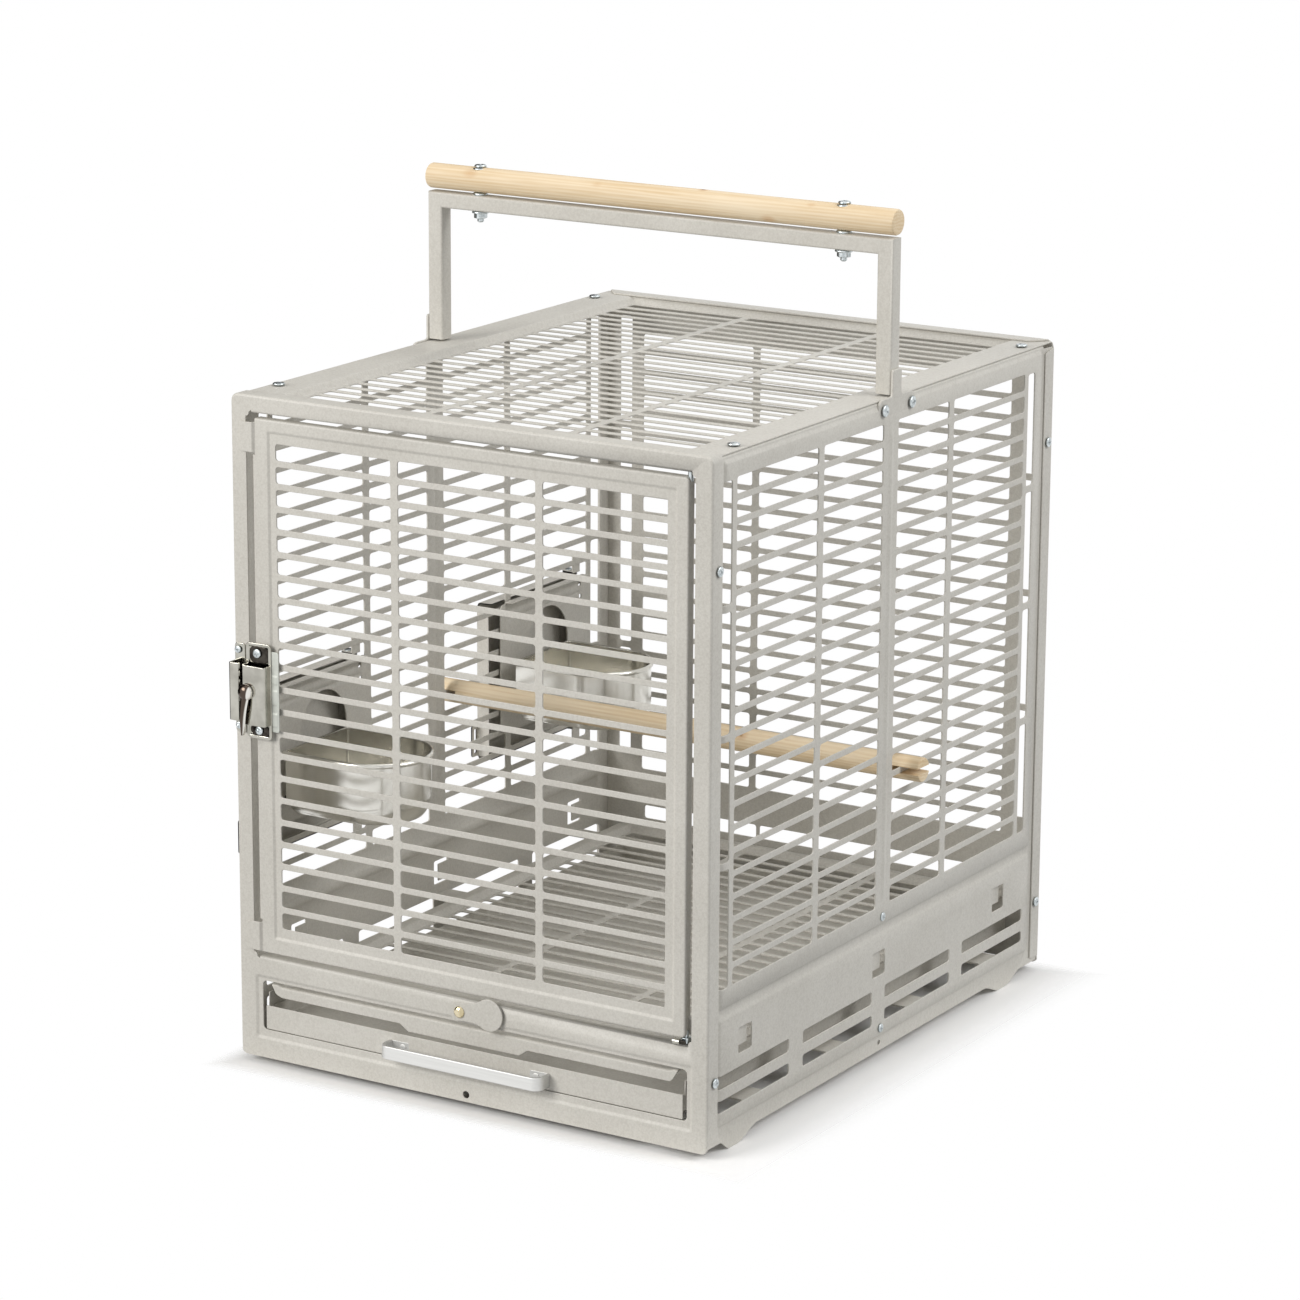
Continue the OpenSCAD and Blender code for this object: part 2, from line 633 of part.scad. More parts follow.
module handle_brackets() color(paint) place()
    for (s = [-1, 1]) difference() {
        sidewise(s > 0 ? wall_x : -wall_x - 2, 2) {
            rsq(grip_y - 25, body_h - 12.8, grip_y + 25, body_h - 0.5, 6);
            rsq(grip_y - tube_w / 2, body_h - 12, grip_y + tube_w / 2, body_h + 17, 1);
        }
        for (y = [grip_y - 18.4, grip_y + 18.7])
            translate([s * wall_x, y, body_h - 8]) rotate([0, 90, 0]) cylinder(r = 1.9, h = 8, center = true);
    }

grip_z = tube_top + 1.7 + grip_d / 2;
bolt_sunk = 1.6;
module handle_grip() color(wood) place() difference() {
    translate([-hw + 0.6, grip_y, grip_z]) rotate([0, 90, 0]) rotate_extrude()
        polygon([[0, 0], [grip_d / 2 - 2, 0], [grip_d / 2 - 0.6, 0.6], [grip_d / 2, 2],
            [grip_d / 2, body_w - 3.2], [grip_d / 2 - 0.6, body_w - 1.8], [grip_d / 2 - 2, body_w - 1.2],
            [0, body_w - 1.2]]);
    for (s = [-1, 1]) translate([s * bolt_x, grip_y, 0]) {
        translate([0, 0, tube_top - 2]) cylinder(r = 2.6, h = 40);
        translate([0, 0, grip_z + grip_d / 2 - bolt_sunk]) cylinder(r = 5.2, h = 10);
    }
}

module handle_bolts() color(steel) place()
    for (s = [-1, 1]) translate([s * bolt_x, grip_y, tube_top - tube_w - 7]) {
        pan_screw(5, 3.2, 2.4, grip_z + grip_d / 2 - bolt_sunk - tube_top + tube_w + 7);
        translate([0, 0, tube_w + 7]) difference() {
            cylinder(r = 5, h = 1.6);
            translate([0, 0, -1]) cylinder(r = 2.4, h = 4);
        }
    }

module handle_nuts() color(steel) place()
    for (s = [-1, 1]) translate([s * bolt_x, grip_y, tube_top - tube_w + 1 - 4]) nut(4.6, 4, 2.4);

module bracket_screws() color(steel) place()
    for (s = [-1, 1]) for (y = [grip_y - 18.4, grip_y + 18.7])
        translate([s * (in_x - 1.5), y, body_h - 8]) rotate([0, s * 90, 0])
            pan_screw(4.2, 2.6, 1.9, wall_x + 2 - in_x + 1.5);

module panel_screws() color(steel) place()
    for (s = [-1, 1]) {
        for (z = [47.2, body_h - 74.4]) translate([s * (in_x - 1.5), 8, z]) rotate([0, s * 90, 0])
            pan_screw(3.6, 2.2, 1.9, hw - in_x + 1.5);
        for (z = [48.7, body_h - 72.1]) translate([s * (in_x - 1.5), body_d - 8, z]) rotate([0, s * 90, 0])
            pan_screw(3.6, 2.2, 1.9, hw - in_x + 1.5);
    }

module stile_screws() color(steel) place()
    for (s = [-1, 1]) for (z = stile_screw_zs)
        translate([s * (in_x - 0.5), s > 0 ? stile_c : body_d - stile_c, z]) rotate([0, s * 90, 0])
            pan_screw(3.2, 2, 1.9, pad_x - in_x + 0.5);

module top_screws() color(steel) place()
    for (s = [-1, 1]) for (y = [41, body_d - 32.8])
        translate([s * (hw - 9.6), y, rest_z - 2.5]) pan_screw(4.2, 2.4, 1.8, rim_z - rest_z + 2.5);

module perch() color(wood) place() translate([0, perch_y, perch_z]) rotate([0, 90, 0]) difference() {
    cylinder(d = perch_d, h = 2 * (wall_x + perch_out), center = true);
    for (s = [-1, 1]) translate([-bar_h / 2 - 0.2, -perch_d, s > 0 ? in_x - 5.5 : -wall_x - perch_out - 1])
        cube([bar_h + 0.4, 2 * perch_d, perch_out + sheet_t + 6.5]);
}

module feeder_plate(y) color(paint) place() difference() {
    union() {
        sidewise(-plate_x - sheet_t, sheet_t) rsq(y - 68.5, flap_z0 + 19, y + 48.5, flap_z0 + 117, 4);
        translate([-plate_x - sheet_t, y - 62, flap_z0 + 117 - sheet_t]) cube([7, 104, sheet_t]);
        sidewise(-plate_x - 0.1, 0.7) {
            translate([y - 60, flap_z0 + 103]) square([100, 3]);
            translate([y - 60, flap_z0 + 109]) square([100, 3]);
        }
    }
    sidewise(-plate_x - sheet_t - 1, 8) difference() {
        translate([y, flap_z0 + 96.5 - arch_w / 2]) circle(arch_w / 2);
        translate([y - 50, flap_z0 - 10]) square([100, arch_sill - flap_z0 + 10]);
    }
}

module feeder_plate_front() feeder_plate(arch_ys[0]);
module feeder_plate_rear() feeder_plate(arch_ys[1]);

flap_x = wall_x + 12.7;
pin_x = wall_x + 7.4;
function pivot_y(y) = y + 37.5;

module flap_outline(y) {
    translate([-flap_x, y + 37.5 + 2.5 - flap_w]) square([flap_x - pad_x - 0.8, flap_w - 2.5]);
    translate([-pin_x, pivot_y(y)]) circle(5);
}

module feeder_door(y) color(paint) place() {
    py = pivot_y(y);
    difference() {
        union() {
            sidewise(-flap_x, sheet_t) difference() {
                union() {
                    rsq(py + 2.5 - flap_w, flap_z0, py + 2.5, flap_z0 + flap_h, 2);
                    translate([py - 5 - flap_w, flap_z0 + 3]) square([12, 24]);
                }
                rsq(py - 2 - flap_w, flap_z0 + 5.5, py + 1 - flap_w, flap_z0 + 24, 1.4);
            }
            for (z = [flap_z0, flap_z0 + flap_h - 1]) translate([0, 0, z]) linear_extrude(1) flap_outline(y);
            translate([-flap_x, py + 2.5 - flap_w, flap_z0]) cube([flap_x - pad_x - 0.8, 1, flap_h]);
            translate([-flap_x, py + 1.5, flap_z0]) cube([flap_x - pad_x - 1.3, 1, flap_h]);
        }
        translate([-pin_x, py, flap_z0 - 1]) cylinder(r = 1.6 + fit_gap, h = flap_h + 2);
    }
}

module feeder_door_front() feeder_door(arch_ys[0]);
module feeder_door_rear() feeder_door(arch_ys[1]);

module feeder_hinges() color(paint) place()
    for (y = arch_ys) for (top = [0, 1]) {
        z = top > 0 ? flap_z0 + flap_h + 0.4 : flap_z0 - 1.9;
        difference() {
            union() {
                translate([0, 0, z]) linear_extrude(1.5) {
                    translate([-pin_x, pivot_y(y) - 5]) square([pin_x - pad_x, 10]);
                    translate([-pin_x, pivot_y(y)]) circle(5);
                }
                sidewise(-pad_x - 1, 1) rsq(pivot_y(y) - 5, z - 12 * (1 - top), pivot_y(y) + 5,
                    z + 1.5 + 12 * top, 1);
            }
            translate([-pin_x, pivot_y(y), z - 1]) cylinder(r = 1.6, h = 4);
        }
    }

module feeder_pins() color(steel) place()
    for (y = arch_ys) translate([-pin_x, pivot_y(y), 0]) {
        translate([0, 0, flap_z0 - 1.9]) cylinder(r = 1.6, h = 5);
        translate([0, 0, flap_z0 - 2.9]) cylinder(r = 3, h = 1);
        translate([0, 0, flap_z0 + flap_h - 3.1]) cylinder(r = 1.6, h = 5);
        translate([0, 0, flap_z0 + flap_h + 1.9]) cylinder(r = 3, h = 1);
    }

bowl_t = 0.8;
strap_x = plate_x + sheet_t + 1.5;
bowl_top = flap_z0 + 73;
hook_l = 14;

// Half section of a bowl: wall, bevel and base
module bowl_section() {
    r = bowl_w / 2;
    polygon([[0, 0], [r - 6, 0], [r - 1.5, 7], [r, 14], [r, bowl_h], [r - bowl_t, bowl_h],
        [r - bowl_t, 14], [r - 1.5 - bowl_t, 7.2], [r - 6.4, bowl_t], [0, bowl_t]]);
    translate([r, bowl_h]) circle(1.8);
}

module bowl_back() {
    r = bowl_w / 2;
    polygon([[-r + 6, 0], [r - 6, 0], [r - 1.5, 7], [r, 14], [r, bowl_h], [-r, bowl_h], [-r, 14], [-r + 1.5, 7]]);
}

module bowl(y) color(steel) place() translate([-bowl_back, y - 29.5, bowl_top - bowl_h]) {
    straight = bowl_d - bowl_w / 2;
    translate([straight, 0, 0]) rotate([0, 0, -90]) rotate_extrude(angle = 180) bowl_section();
    sidewise(0, straight) {
        bowl_section();
        mirror([1, 0]) bowl_section();
    }
    sidewise(0, bowl_t) bowl_back();
    translate([0, 0, bowl_h]) rotate([90, 0, 0]) cylinder(r = 1.8, h = bowl_w, center = true);
    for (s = [-1, 1]) translate([0, s * bowl_w / 2, bowl_h]) sphere(1.8);
    // Hook over the sill of the arch
    hook_z = bowl_h - bowl_top + arch_sill + 0.3;
    translate([bowl_back - strap_x, 14, hook_z]) cube([strap_x - bowl_back, 18, 1.2]);
    translate([bowl_back - strap_x, 14, hook_z - hook_l]) cube([1, 18, hook_l + 1.2]);
}

module bowl_front() bowl(arch_ys[0]);
module bowl_rear() bowl(arch_ys[1]);
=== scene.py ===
from math import asin, cos, pi, radians, sin

import bmesh
import bpy
import numpy as np
from mathutils import Matrix, Vector
from mathutils.geometry import delaunay_2d_cdt


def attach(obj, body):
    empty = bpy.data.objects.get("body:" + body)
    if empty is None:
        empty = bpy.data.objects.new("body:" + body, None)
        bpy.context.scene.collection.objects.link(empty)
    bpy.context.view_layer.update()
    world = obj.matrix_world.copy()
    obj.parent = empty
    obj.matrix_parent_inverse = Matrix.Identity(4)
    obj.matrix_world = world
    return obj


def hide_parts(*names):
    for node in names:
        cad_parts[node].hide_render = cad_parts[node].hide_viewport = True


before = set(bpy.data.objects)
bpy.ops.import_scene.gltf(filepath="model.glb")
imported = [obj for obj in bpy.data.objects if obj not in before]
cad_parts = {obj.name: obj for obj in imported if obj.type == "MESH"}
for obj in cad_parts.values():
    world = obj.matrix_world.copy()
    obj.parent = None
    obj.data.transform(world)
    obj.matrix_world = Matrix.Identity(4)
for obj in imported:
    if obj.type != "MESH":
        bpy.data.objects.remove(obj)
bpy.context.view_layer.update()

# Shapes are given in mm, with y from the front face and z from the bottom edge of the panels.
# FY and FZ move that origin to the frame's. Materials, lamps and camera use the frame's metres.
FY, FZ = -228.1, 4.5
# The body: thickness of the sheet, half width, depth, height, and x of a side panel's middle
T = 1.2
HW, DEPTH, H = 185.6, 467.8, 460.0
WALL = 184.3
# The grilles: pitch and height of the slots, rows of them, lowest slot of the sides and front
PITCH, SLOT, ROWS = 15.4, 11.2, 22
SIDE_BOT, FRONT_BOT = 107.8, 94.4
BAYS = [(-153, -58.85), (-53.15, 53.15), (58.85, 153)]
# Top: fold of the side panels and the top panel's rim
REST_Z, RIM_Z = 457.4, 458.7
# Handle: y of its middle, top of its tube, gap above it, radius of the wooden grip
GRIP_Y, TUBE_TOP, GRIP_GAP, GRIP_R = 236.0, 564, 1.7, 8.75
LATCH_X, LATCH_Z = -170.5, 259.5
# Feeders: y of their middles, lower edge of plate and door, the door's pin
FEEDERS = (("front", 102.5), ("rear", 387.5))
FEEDER_Z = 133.0
FEEDER_PIN_X, FEEDER_PIN_DY = -191.7, 37.5
# Outer radius of a bend, and the corner radius that wrap takes for a plain fold
BEND, PLAIN = 1.7, 1.71
# Stands for no limit
BIG = 1000.0
# Ways: up, and out of the front
UP, OUT = (0, 0, 1), (0, -1, 0)


# ---- materials
class Sock:
    """One output socket with plain arithmetic."""

    def __init__(self, tree, out):
        self.tree, self.out = tree, out

    def node(self, kind, settings=None, inputs=None, pick=0):
        n = self.tree.nodes.new(kind)
        for key, value in (settings or {}).items():
            setattr(n, key, value)
        for key, value in (inputs or {}).items():
            if isinstance(value, Sock):
                self.tree.links.new(value.out, n.inputs[key])
            else:
                n.inputs[key].default_value = value
        return Sock(self.tree, n.outputs[pick])

    def math(self, operation, a, b=0.0, c=0.0):
        return self.node("ShaderNodeMath", {"operation": operation}, {0: a, 1: b, 2: c})

    def __add__(self, o):
        return self.math("ADD", self, o)

    def __sub__(self, o):
        return self.math("SUBTRACT", self, o)

    def __rsub__(self, o):
        return self.math("SUBTRACT", o, self)

    def __mul__(self, o):
        return self.math("MULTIPLY", self, o)

    def __truediv__(self, o):
        return self.math("DIVIDE", self, o)

    def __pow__(self, o):
        return self.math("POWER", self, o)

    def most(self, o):
        return self.math("MAXIMUM", self, o)

    def step(self, lo, hi):
        """0 below lo, 1 above hi, smooth between."""
        return self.node("ShaderNodeMapRange", {"interpolation_type": "SMOOTHSTEP"},
                         {"Value": self, "From Min": lo, "From Max": hi})

    def mix(self, a, b):
        """Colour a where this is 0, colour b where it is 1."""
        return self.node("ShaderNodeMix", {"data_type": "RGBA"}, {0: self, 6: a, 7: b}, 2)

    def xyz(self):
        """The three parts of a vector."""
        first = self.node("ShaderNodeSeparateXYZ", {}, {0: self})
        return [Sock(self.tree, out) for out in first.out.node.outputs]


def material(name, build, **constants):
    """A material for the slot called name; build gives its shader's inputs."""
    m = bpy.data.materials.new(name + "_look")
    m["slot"] = name
    m.use_nodes = True
    tree = m.node_tree
    shader = tree.nodes["Principled BSDF"]
    for key, value in constants.items():
        shader.inputs[key.replace("_", " ")].default_value = value
    where = tree.nodes.new("ShaderNodeTexCoord")
    made = build(Sock(tree, where.outputs["Object"]))
    for key, value in made.items():
        if isinstance(value, Sock):
            tree.links.new(value.out, shader.inputs[key])
        else:
            shader.inputs[key].default_value = value
    return m


def noise(p, scale, detail=2.0, rough=0.5):
    return p.node("ShaderNodeTexNoise", {}, {"Vector": p, "Scale": scale, "Detail": detail,
                                             "Roughness": rough})


def stretch(p, sx, sy, sz):
    return p.node("ShaderNodeMapping", {}, {"Vector": p, "Scale": (sx, sy, sz)})


def bump(p, height, strength, distance):
    return p.node("ShaderNodeBump", {}, {"Height": height, "Strength": strength,
                                         "Distance": distance})


def rgb(r, g, b):
    """sRGB 0-255 to linear."""
    def lin(c):
        c /= 255
        return c / 12.92 if c <= 0.04045 else ((c + 0.055) / 1.055) ** 2.4
    return (lin(r), lin(g), lin(b), 1.0)


def hammered(base, dark):
    """Powder coat with a fine hammered grain."""
    def build(p):
        cells = p.node("ShaderNodeTexVoronoi", {"feature": "SMOOTH_F1"},
                       {"Vector": p, "Scale": 620.0, "Smoothness": 0.6})
        fine = noise(p, 1150.0, 2.0)
        wide = noise(p, 14.0, 3.0)
        tone = (fine * 0.55 + cells * 0.35 + noise(p, 330.0, 2.0) * 0.35).step(0.42, 0.86)
        shade = wide.step(0.3, 0.75) * 0.3 + tone * 0.55
        return {"Base Color": shade.mix(base, dark),
                "Roughness": noise(p, 240.0, 2.0) * 0.16 + 0.4,
                "Normal": bump(p, cells * 0.7 + fine * 0.5, 0.22, 0.0002)}
    return build


PAINT = material("grey_powder_coat", hammered(rgb(213, 210, 202), rgb(190, 186, 177)),
                 Specular_IOR_Level=0.45)
PAINT.diffuse_color = (0.6, 0.58, 0.54, 1)


def plated(lo, hi, rough, scale):
    """Plated or polished metal with faint smears."""
    def build(p):
        smear = noise(p, scale, 3.0)
        return {"Base Color": smear.step(0.3, 0.7).mix(lo, hi),
                "Roughness": smear * 0.5 * rough + 0.75 * rough,
                "Normal": bump(p, noise(p, 160.0, 1.0), 0.06, 0.0004)}
    return build


CHROME = material("bright_plate", plated(rgb(166, 164, 155), rgb(196, 194, 185), 0.1, 60.0),
                  Metallic=1.0)
ZINC = material("zinc", plated(rgb(176, 184, 186), rgb(214, 220, 222), 0.3, 420.0),
                Metallic=1.0)
STEEL = material("stainless", plated(rgb(220, 218, 210), rgb(236, 234, 228), 0.2, 40.0),
                 Metallic=1.0)
BRASS = material("zinc", plated(rgb(200, 186, 150), rgb(226, 214, 184), 0.16, 200.0),
                 Metallic=1.0)
DARK = material("zinc", plated(rgb(46, 42, 38), rgb(78, 74, 68), 0.25, 200.0), Metallic=0.9)


def lever_chrome_painted_reflection(p):
    """Bright plating with a painted reflection: the base colour is dark on the lever's left side,
    where the plating mirrors dark surroundings.
    """
    x, _, z = p.xyz()
    lean = (z * -1.0 + (LATCH_Z + FZ) * 0.001) * 0.16
    # Painted reflection: left of this split the base colour is dark, standing for dark surroundings
    # mirrored in the plating
    side = (x + lean - LATCH_X * 0.001).step(0.0024, 0.0031)
    return {"Base Color": side.mix(rgb(84, 74, 66), rgb(226, 224, 218)),
            "Roughness": side * 0.1 + 0.16,
            "Normal": bump(p, noise(p, 160.0, 1.0), 0.06, 0.0004)}


def brushed(p):
    grain = noise(stretch(p, 20.0, 700.0, 700.0), 1.0, 3.0)
    return {"Base Color": grain.step(0.2, 0.8).mix(rgb(204, 204, 202), rgb(212, 212, 210)),
            "Roughness": grain * 0.06 + 0.5}


ALU = material("satin_aluminium", brushed, Metallic=1.0)
LEVER = material("bright_plate", lever_chrome_painted_reflection, Metallic=1.0)
SATIN = material("bright_plate", plated(rgb(184, 187, 180), rgb(200, 203, 196), 0.55, 90.0),
                 Metallic=0.5)


def pine(knots=()):
    def build(p):
        x, y, z = p.xyz()
        warp = noise(stretch(p, 9.0, 60.0, 60.0), 1.0, 3.0)
        rings = p.node("ShaderNodeTexWave", {"wave_type": "RINGS", "rings_direction": "X"},
                       {"Vector": stretch(p, 3.0, 62.0, 62.0), "Scale": 2.2, "Distortion": 5.0,
                        "Detail": 3.0, "Detail Scale": 1.4})
        fibre = noise(stretch(p, 22.0, 900.0, 900.0), 1.0, 3.0)
        tone = rings * 0.16 + fibre * 0.36 + warp * 0.68
        colour = tone.step(0.36, 0.9).mix(rgb(240, 222, 192), rgb(219, 191, 149))
        for kx, ky, kz, r in knots:
            dx, dy, dz = (x - kx) * 0.72, y - ky, z - kz
            far = (dx * dx + dy * dy + dz * dz) ** 0.5
            far = far + (warp - 0.5) * 0.0035
            halo = 1.0 - far.step(r * 0.9, r * 3.2)
            eye = 1.0 - far.step(r * 0.35, r * 1.15)
            colour = (halo * 0.5).mix(colour, rgb(200, 152, 98))
            colour = (eye * 0.85).mix(colour, rgb(133, 88, 52))
        return {"Base Color": colour, "Roughness": fibre * 0.2 + 0.48,
                "Normal": bump(p, fibre * 0.6 + rings * 0.4, 0.12, 0.0003)}
    return build


# ---- shapes
def arc(cx, cy, r, a0, a1, n):
    """Points of an arc between two angles in degrees."""
    turn = [radians(a0 + (a1 - a0) * k / n) for k in range(n + 1)]
    return [(cx + r * cos(a), cy + r * sin(a)) for a in turn]


def rr(u0, v0, u1, v1, r, n=4):
    """Rectangle with rounded corners."""
    return (arc(u1 - r, v0 + r, r, -90, 0, n) + arc(u1 - r, v1 - r, r, 0, 90, n)
            + arc(u0 + r, v1 - r, r, 90, 180, n) + arc(u0 + r, v0 + r, r, 180, 270, n))


def disc(cx, cy, r, n=20):
    return arc(cx, cy, r, 0, 360 - 360 / n, n - 1)


def offset(loop, s):
    """A loop moved outward by s; the loop runs anticlockwise."""
    a = np.array(loop, float)
    p, q = np.roll(a, 1, 0), np.roll(a, -1, 0)

    def out(d):
        n = np.stack([d[:, 1], -d[:, 0]], 1)
        return n / np.linalg.norm(n, axis=1)[:, None]

    m = out(a - p) + out(q - a)
    m *= np.minimum(2.0 / (m * m).sum(1), 2.2)[:, None]
    return a + s * m


def sstep(x):
    """0 below 0, 1 above 1, smooth between."""
    x = np.clip(x, 0.0, 1.0)
    return x * x * (3 - 2 * x)


def mm(x, y, z):
    """Object millimetres to the frame's metres."""
    x, y, z = np.broadcast_arrays(x, y, z)
    return np.stack([x, y + FY, z + FZ], -1) * 0.001


def rim_facts(p, loops):
    """Distance of each point to the nearest rim, and the way out of the sheet there."""
    a = np.concatenate([np.array(lp, float) for lp in loops])
    b = np.concatenate([np.roll(np.array(lp, float), -1, 0) for lp in loops])
    d = b - a
    length = np.linalg.norm(d, axis=1)
    sign = np.concatenate([np.full(len(lp), 1.0 if k == 0 else -1.0)
                           for k, lp in enumerate(loops)])
    out = np.stack([d[:, 1], -d[:, 0]], 1) / length[:, None] * sign[:, None]
    dist, way = np.zeros(len(p)), np.zeros((len(p), 2))
    for k in range(0, len(p), 500):
        q = p[k:k + 500]
        t = np.clip(((q[:, None] - a[None]) * d[None]).sum(2) / (length ** 2)[None], 0, 1)
        far = np.linalg.norm(a[None] + t[..., None] * d[None] - q[:, None], axis=2)
        low = far.min(1)
        near = far < low[:, None] + 1e-3
        w = near @ out
        dist[k:k + 500] = low
        way[k:k + 500] = w / np.maximum(np.linalg.norm(w, axis=1), 1e-9)[:, None]
    return dist, way


def link(name, data):
    ob = bpy.data.objects.new(name, data)
    bpy.context.scene.collection.objects.link(ob)
    return ob


class Build:
    """One piece, made of sheets that bring their own normals and of turned or bridged solids."""

    def __init__(self):
        self.bm = bmesh.new()
        self.own = self.bm.verts.layers.float_vector.new("own")

    def add(self, co, no, faces):
        made = [self.bm.verts.new(c) for c in co.tolist()]
        for vert, n in zip(made, no.tolist()):
            vert[self.own] = n
        for f in faces:
            self.bm.faces.new([made[i] for i in f])

    def take(self, part):
        """Adds a finished solid to the piece."""
        bmesh.ops.recalc_face_normals(part, faces=part.faces)
        mesh = bpy.data.meshes.new("part")
        part.to_mesh(mesh)
        part.free()
        self.bm.from_mesh(mesh)
        bpy.data.meshes.remove(mesh)

    def sheet(self, place, outer, holes=(), lines=(), relief=None, t=T, w=0.4):
        """A stamped sheet: outline and holes in u and v, bent by place, pressed by relief."""
        loops = [np.array(lp, float) for lp in (outer, *holes)]
        pts, edges, faces = [], [], []

        def put(lp, closed):
            base, n = len(pts), len(lp)
            pts.extend(Vector((float(a), float(b))) for a, b in lp)
            edges.extend((base + i, base + (i + 1) % n) for i in range(n if closed else n - 1))
            return list(range(base, base + n))

        for k, lp in enumerate(loops):
            faces.append(put(lp, True))
            for f in (0.3, 1.0):
                put(offset(lp, (-1 if k == 0 else 1) * w * f), True)
        for ln in lines:
            put(ln, False)
        got = delaunay_2d_cdt(pts, edges, faces, 1, 1e-5)
        tris = [f for f, o in zip(got[2], got[5]) if list(o) == [0] and len(f) == 3]
        used = sorted({i for f in tris for i in f})
        new = {i: k for k, i in enumerate(used)}
        tris = [tuple(new[i] for i in f) for f in tris]
        p = np.array([got[0][i] for i in used], float)
        area = sum((p[b][0] - p[a][0]) * (p[c][1] - p[a][1])
                   - (p[c][0] - p[a][0]) * (p[b][1] - p[a][1]) for a, b, c in tris)
        if area < 0:
            tris = [f[::-1] for f in tris]
        press = relief or (lambda u, v: np.zeros_like(u))
        u, v = p[:, 0], p[:, 1]
        # Rounded rim: the faces drop towards each other over the width w
        dist, way = rim_facts(p, loops)
        s = np.clip((w - dist) / w, 0, 1)
        drop = w - w * np.sqrt(1 - s ** 2)
        # Normals from the shape's own slopes
        e = 0.05
        mid = [place(u + a, v + b, press(u + a, v + b))
               for a, b in ((e, 0), (-e, 0), (0, e), (0, -e))]
        du, dv = mid[0] - mid[1], mid[2] - mid[3]
        n = np.cross(du, dv)
        n /= np.linalg.norm(n, axis=1)[:, None]
        out = du * way[:, :1] + dv * way[:, 1:]
        out /= np.maximum(np.linalg.norm(out, axis=1), 1e-12)[:, None]
        c = np.sqrt(1 - s ** 2)[:, None]
        s = s[:, None]
        h = press(u, v)
        top = place(u, v, h + t / 2 - drop)
        low = place(u, v, h - t / 2 + drop)
        k = len(p)
        ends = dict.fromkeys((f[i], f[(i + 1) % 3]) for f in tris for i in range(3))
        rims = [(a, b) for a, b in ends if (b, a) not in ends]
        self.add(np.concatenate([top, low]), np.concatenate([c * n + s * out, s * out - c * n]),
                 tris + [(c2 + k, b + k, a + k) for a, b, c2 in tris]
                 + [(b, a, a + k, b + k) for a, b in rims])

    def rings(self, rings):
        """Bridges closed rings of points and fills both ends."""
        part = bmesh.new()
        loops = []
        for ring in rings:
            verts = [part.verts.new(mm(*p)) for p in ring]
            loops.append([part.edges.new(ends) for ends in zip(verts, verts[1:] + verts[:1])])
        for near, far in zip(loops, loops[1:]):
            bmesh.ops.bridge_loops(part, edges=near + far)
        bmesh.ops.edgeloop_fill(part, edges=loops[0])
        bmesh.ops.edgeloop_fill(part, edges=loops[-1])
        self.take(part)

    def lathe(self, at, axis, profile, n=28):
        """Spins a profile of (radius, height) in mm round the axis from the point at."""
        z = Vector(axis).normalized()
        x = z.orthogonal().normalized()
        o = Vector(mm(*at))
        part = bmesh.new()
        chain = [(0, profile[0][1]), *profile, (0, profile[-1][1])]
        verts = [part.verts.new(o + x * (r * 0.001) + z * (h * 0.001)) for r, h in chain]
        edges = [part.edges.new(ends) for ends in zip(verts, verts[1:])]
        bmesh.ops.spin(part, geom=verts + edges, cent=o, axis=z, angle=2 * pi, steps=n,
                       use_merge=True)
        bmesh.ops.remove_doubles(part, verts=part.verts, dist=1e-6)
        self.take(part)

    def done(self, name, mat, body, nodes=(), bevel=0.0, angle=35, own=True):
        """Makes the object, and gives it its normals, body, slot and the nodes it replaces."""
        if not own:
            bmesh.ops.recalc_face_normals(self.bm, faces=self.bm.faces)
        mesh = bpy.data.meshes.new(name)
        self.bm.to_mesh(mesh)
        self.bm.free()
        normals = [d.vector[:] for d in mesh.attributes["own"].data]
        mesh.attributes.remove(mesh.attributes["own"])
        mesh.polygons.foreach_set("use_smooth", [True] * len(mesh.polygons))
        mesh.materials.append(mat)
        ob = link(name, mesh)
        if own:
            mesh.normals_split_custom_set_from_vertices(normals)
        else:
            mesh.set_sharp_from_angle(angle=radians(angle))
            if bevel:
                b = ob.modifiers.new("edges", "BEVEL")
                b.width = bevel * 0.001
                b.segments = 3
                b.limit_method = "ANGLE"
                b.angle_limit = radians(angle)
                b.harden_normals = True
            w = ob.modifiers.new("shade", "WEIGHTED_NORMAL")
            w.keep_sharp = True
        if nodes:
            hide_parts(*nodes)
        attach(ob, body)
        return ob


# Where a flat pattern lies
def front_at(y):
    return lambda u, v, h: mm(u, y - h, v)


def right_at(x):
    return lambda u, v, h: mm(x + h, u, v)


def left_at(x):
    return lambda u, v, h: mm(-x - h, DEPTH - u, v)


def up_at(z):
    return lambda u, v, h: mm(u, v, z + h)


def wrap(u, v, h, x0, x1, z0, z1, r, big_r=BEND, t=T):
    """Folds what lies beyond x0..x1, z0..z1 back, with corners of radius r; place and depth."""
    rc, rm = max(r - big_r, 0.01), big_r - t / 2
    qx = np.clip(u, x0 + big_r + rc, x1 - big_r - rc)
    qz = np.clip(v, z0 + big_r + rc, z1 - big_r - rc)
    dx, dz = u - qx, v - qz
    dist = np.hypot(dx, dz)
    s = dist - rc
    ph = np.clip(s / rm, 0, pi / 2)
    rad = np.where(s > 0, rc + (rm + h) * np.sin(ph), dist)
    depth = np.where(s > 0, big_r - (rm + h) * np.cos(ph) + np.maximum(s - rm * pi / 2, 0),
                     t / 2 - h)
    k = rad / np.maximum(dist, 1e-9)
    return qx + dx * k, qz + dz * k, depth


def flat_of(fold, big_r=BEND, t=T):
    """Flat length beyond the start of a bend for a folded edge of this outer depth."""
    return (big_r - t / 2) * pi / 2 + fold - big_r


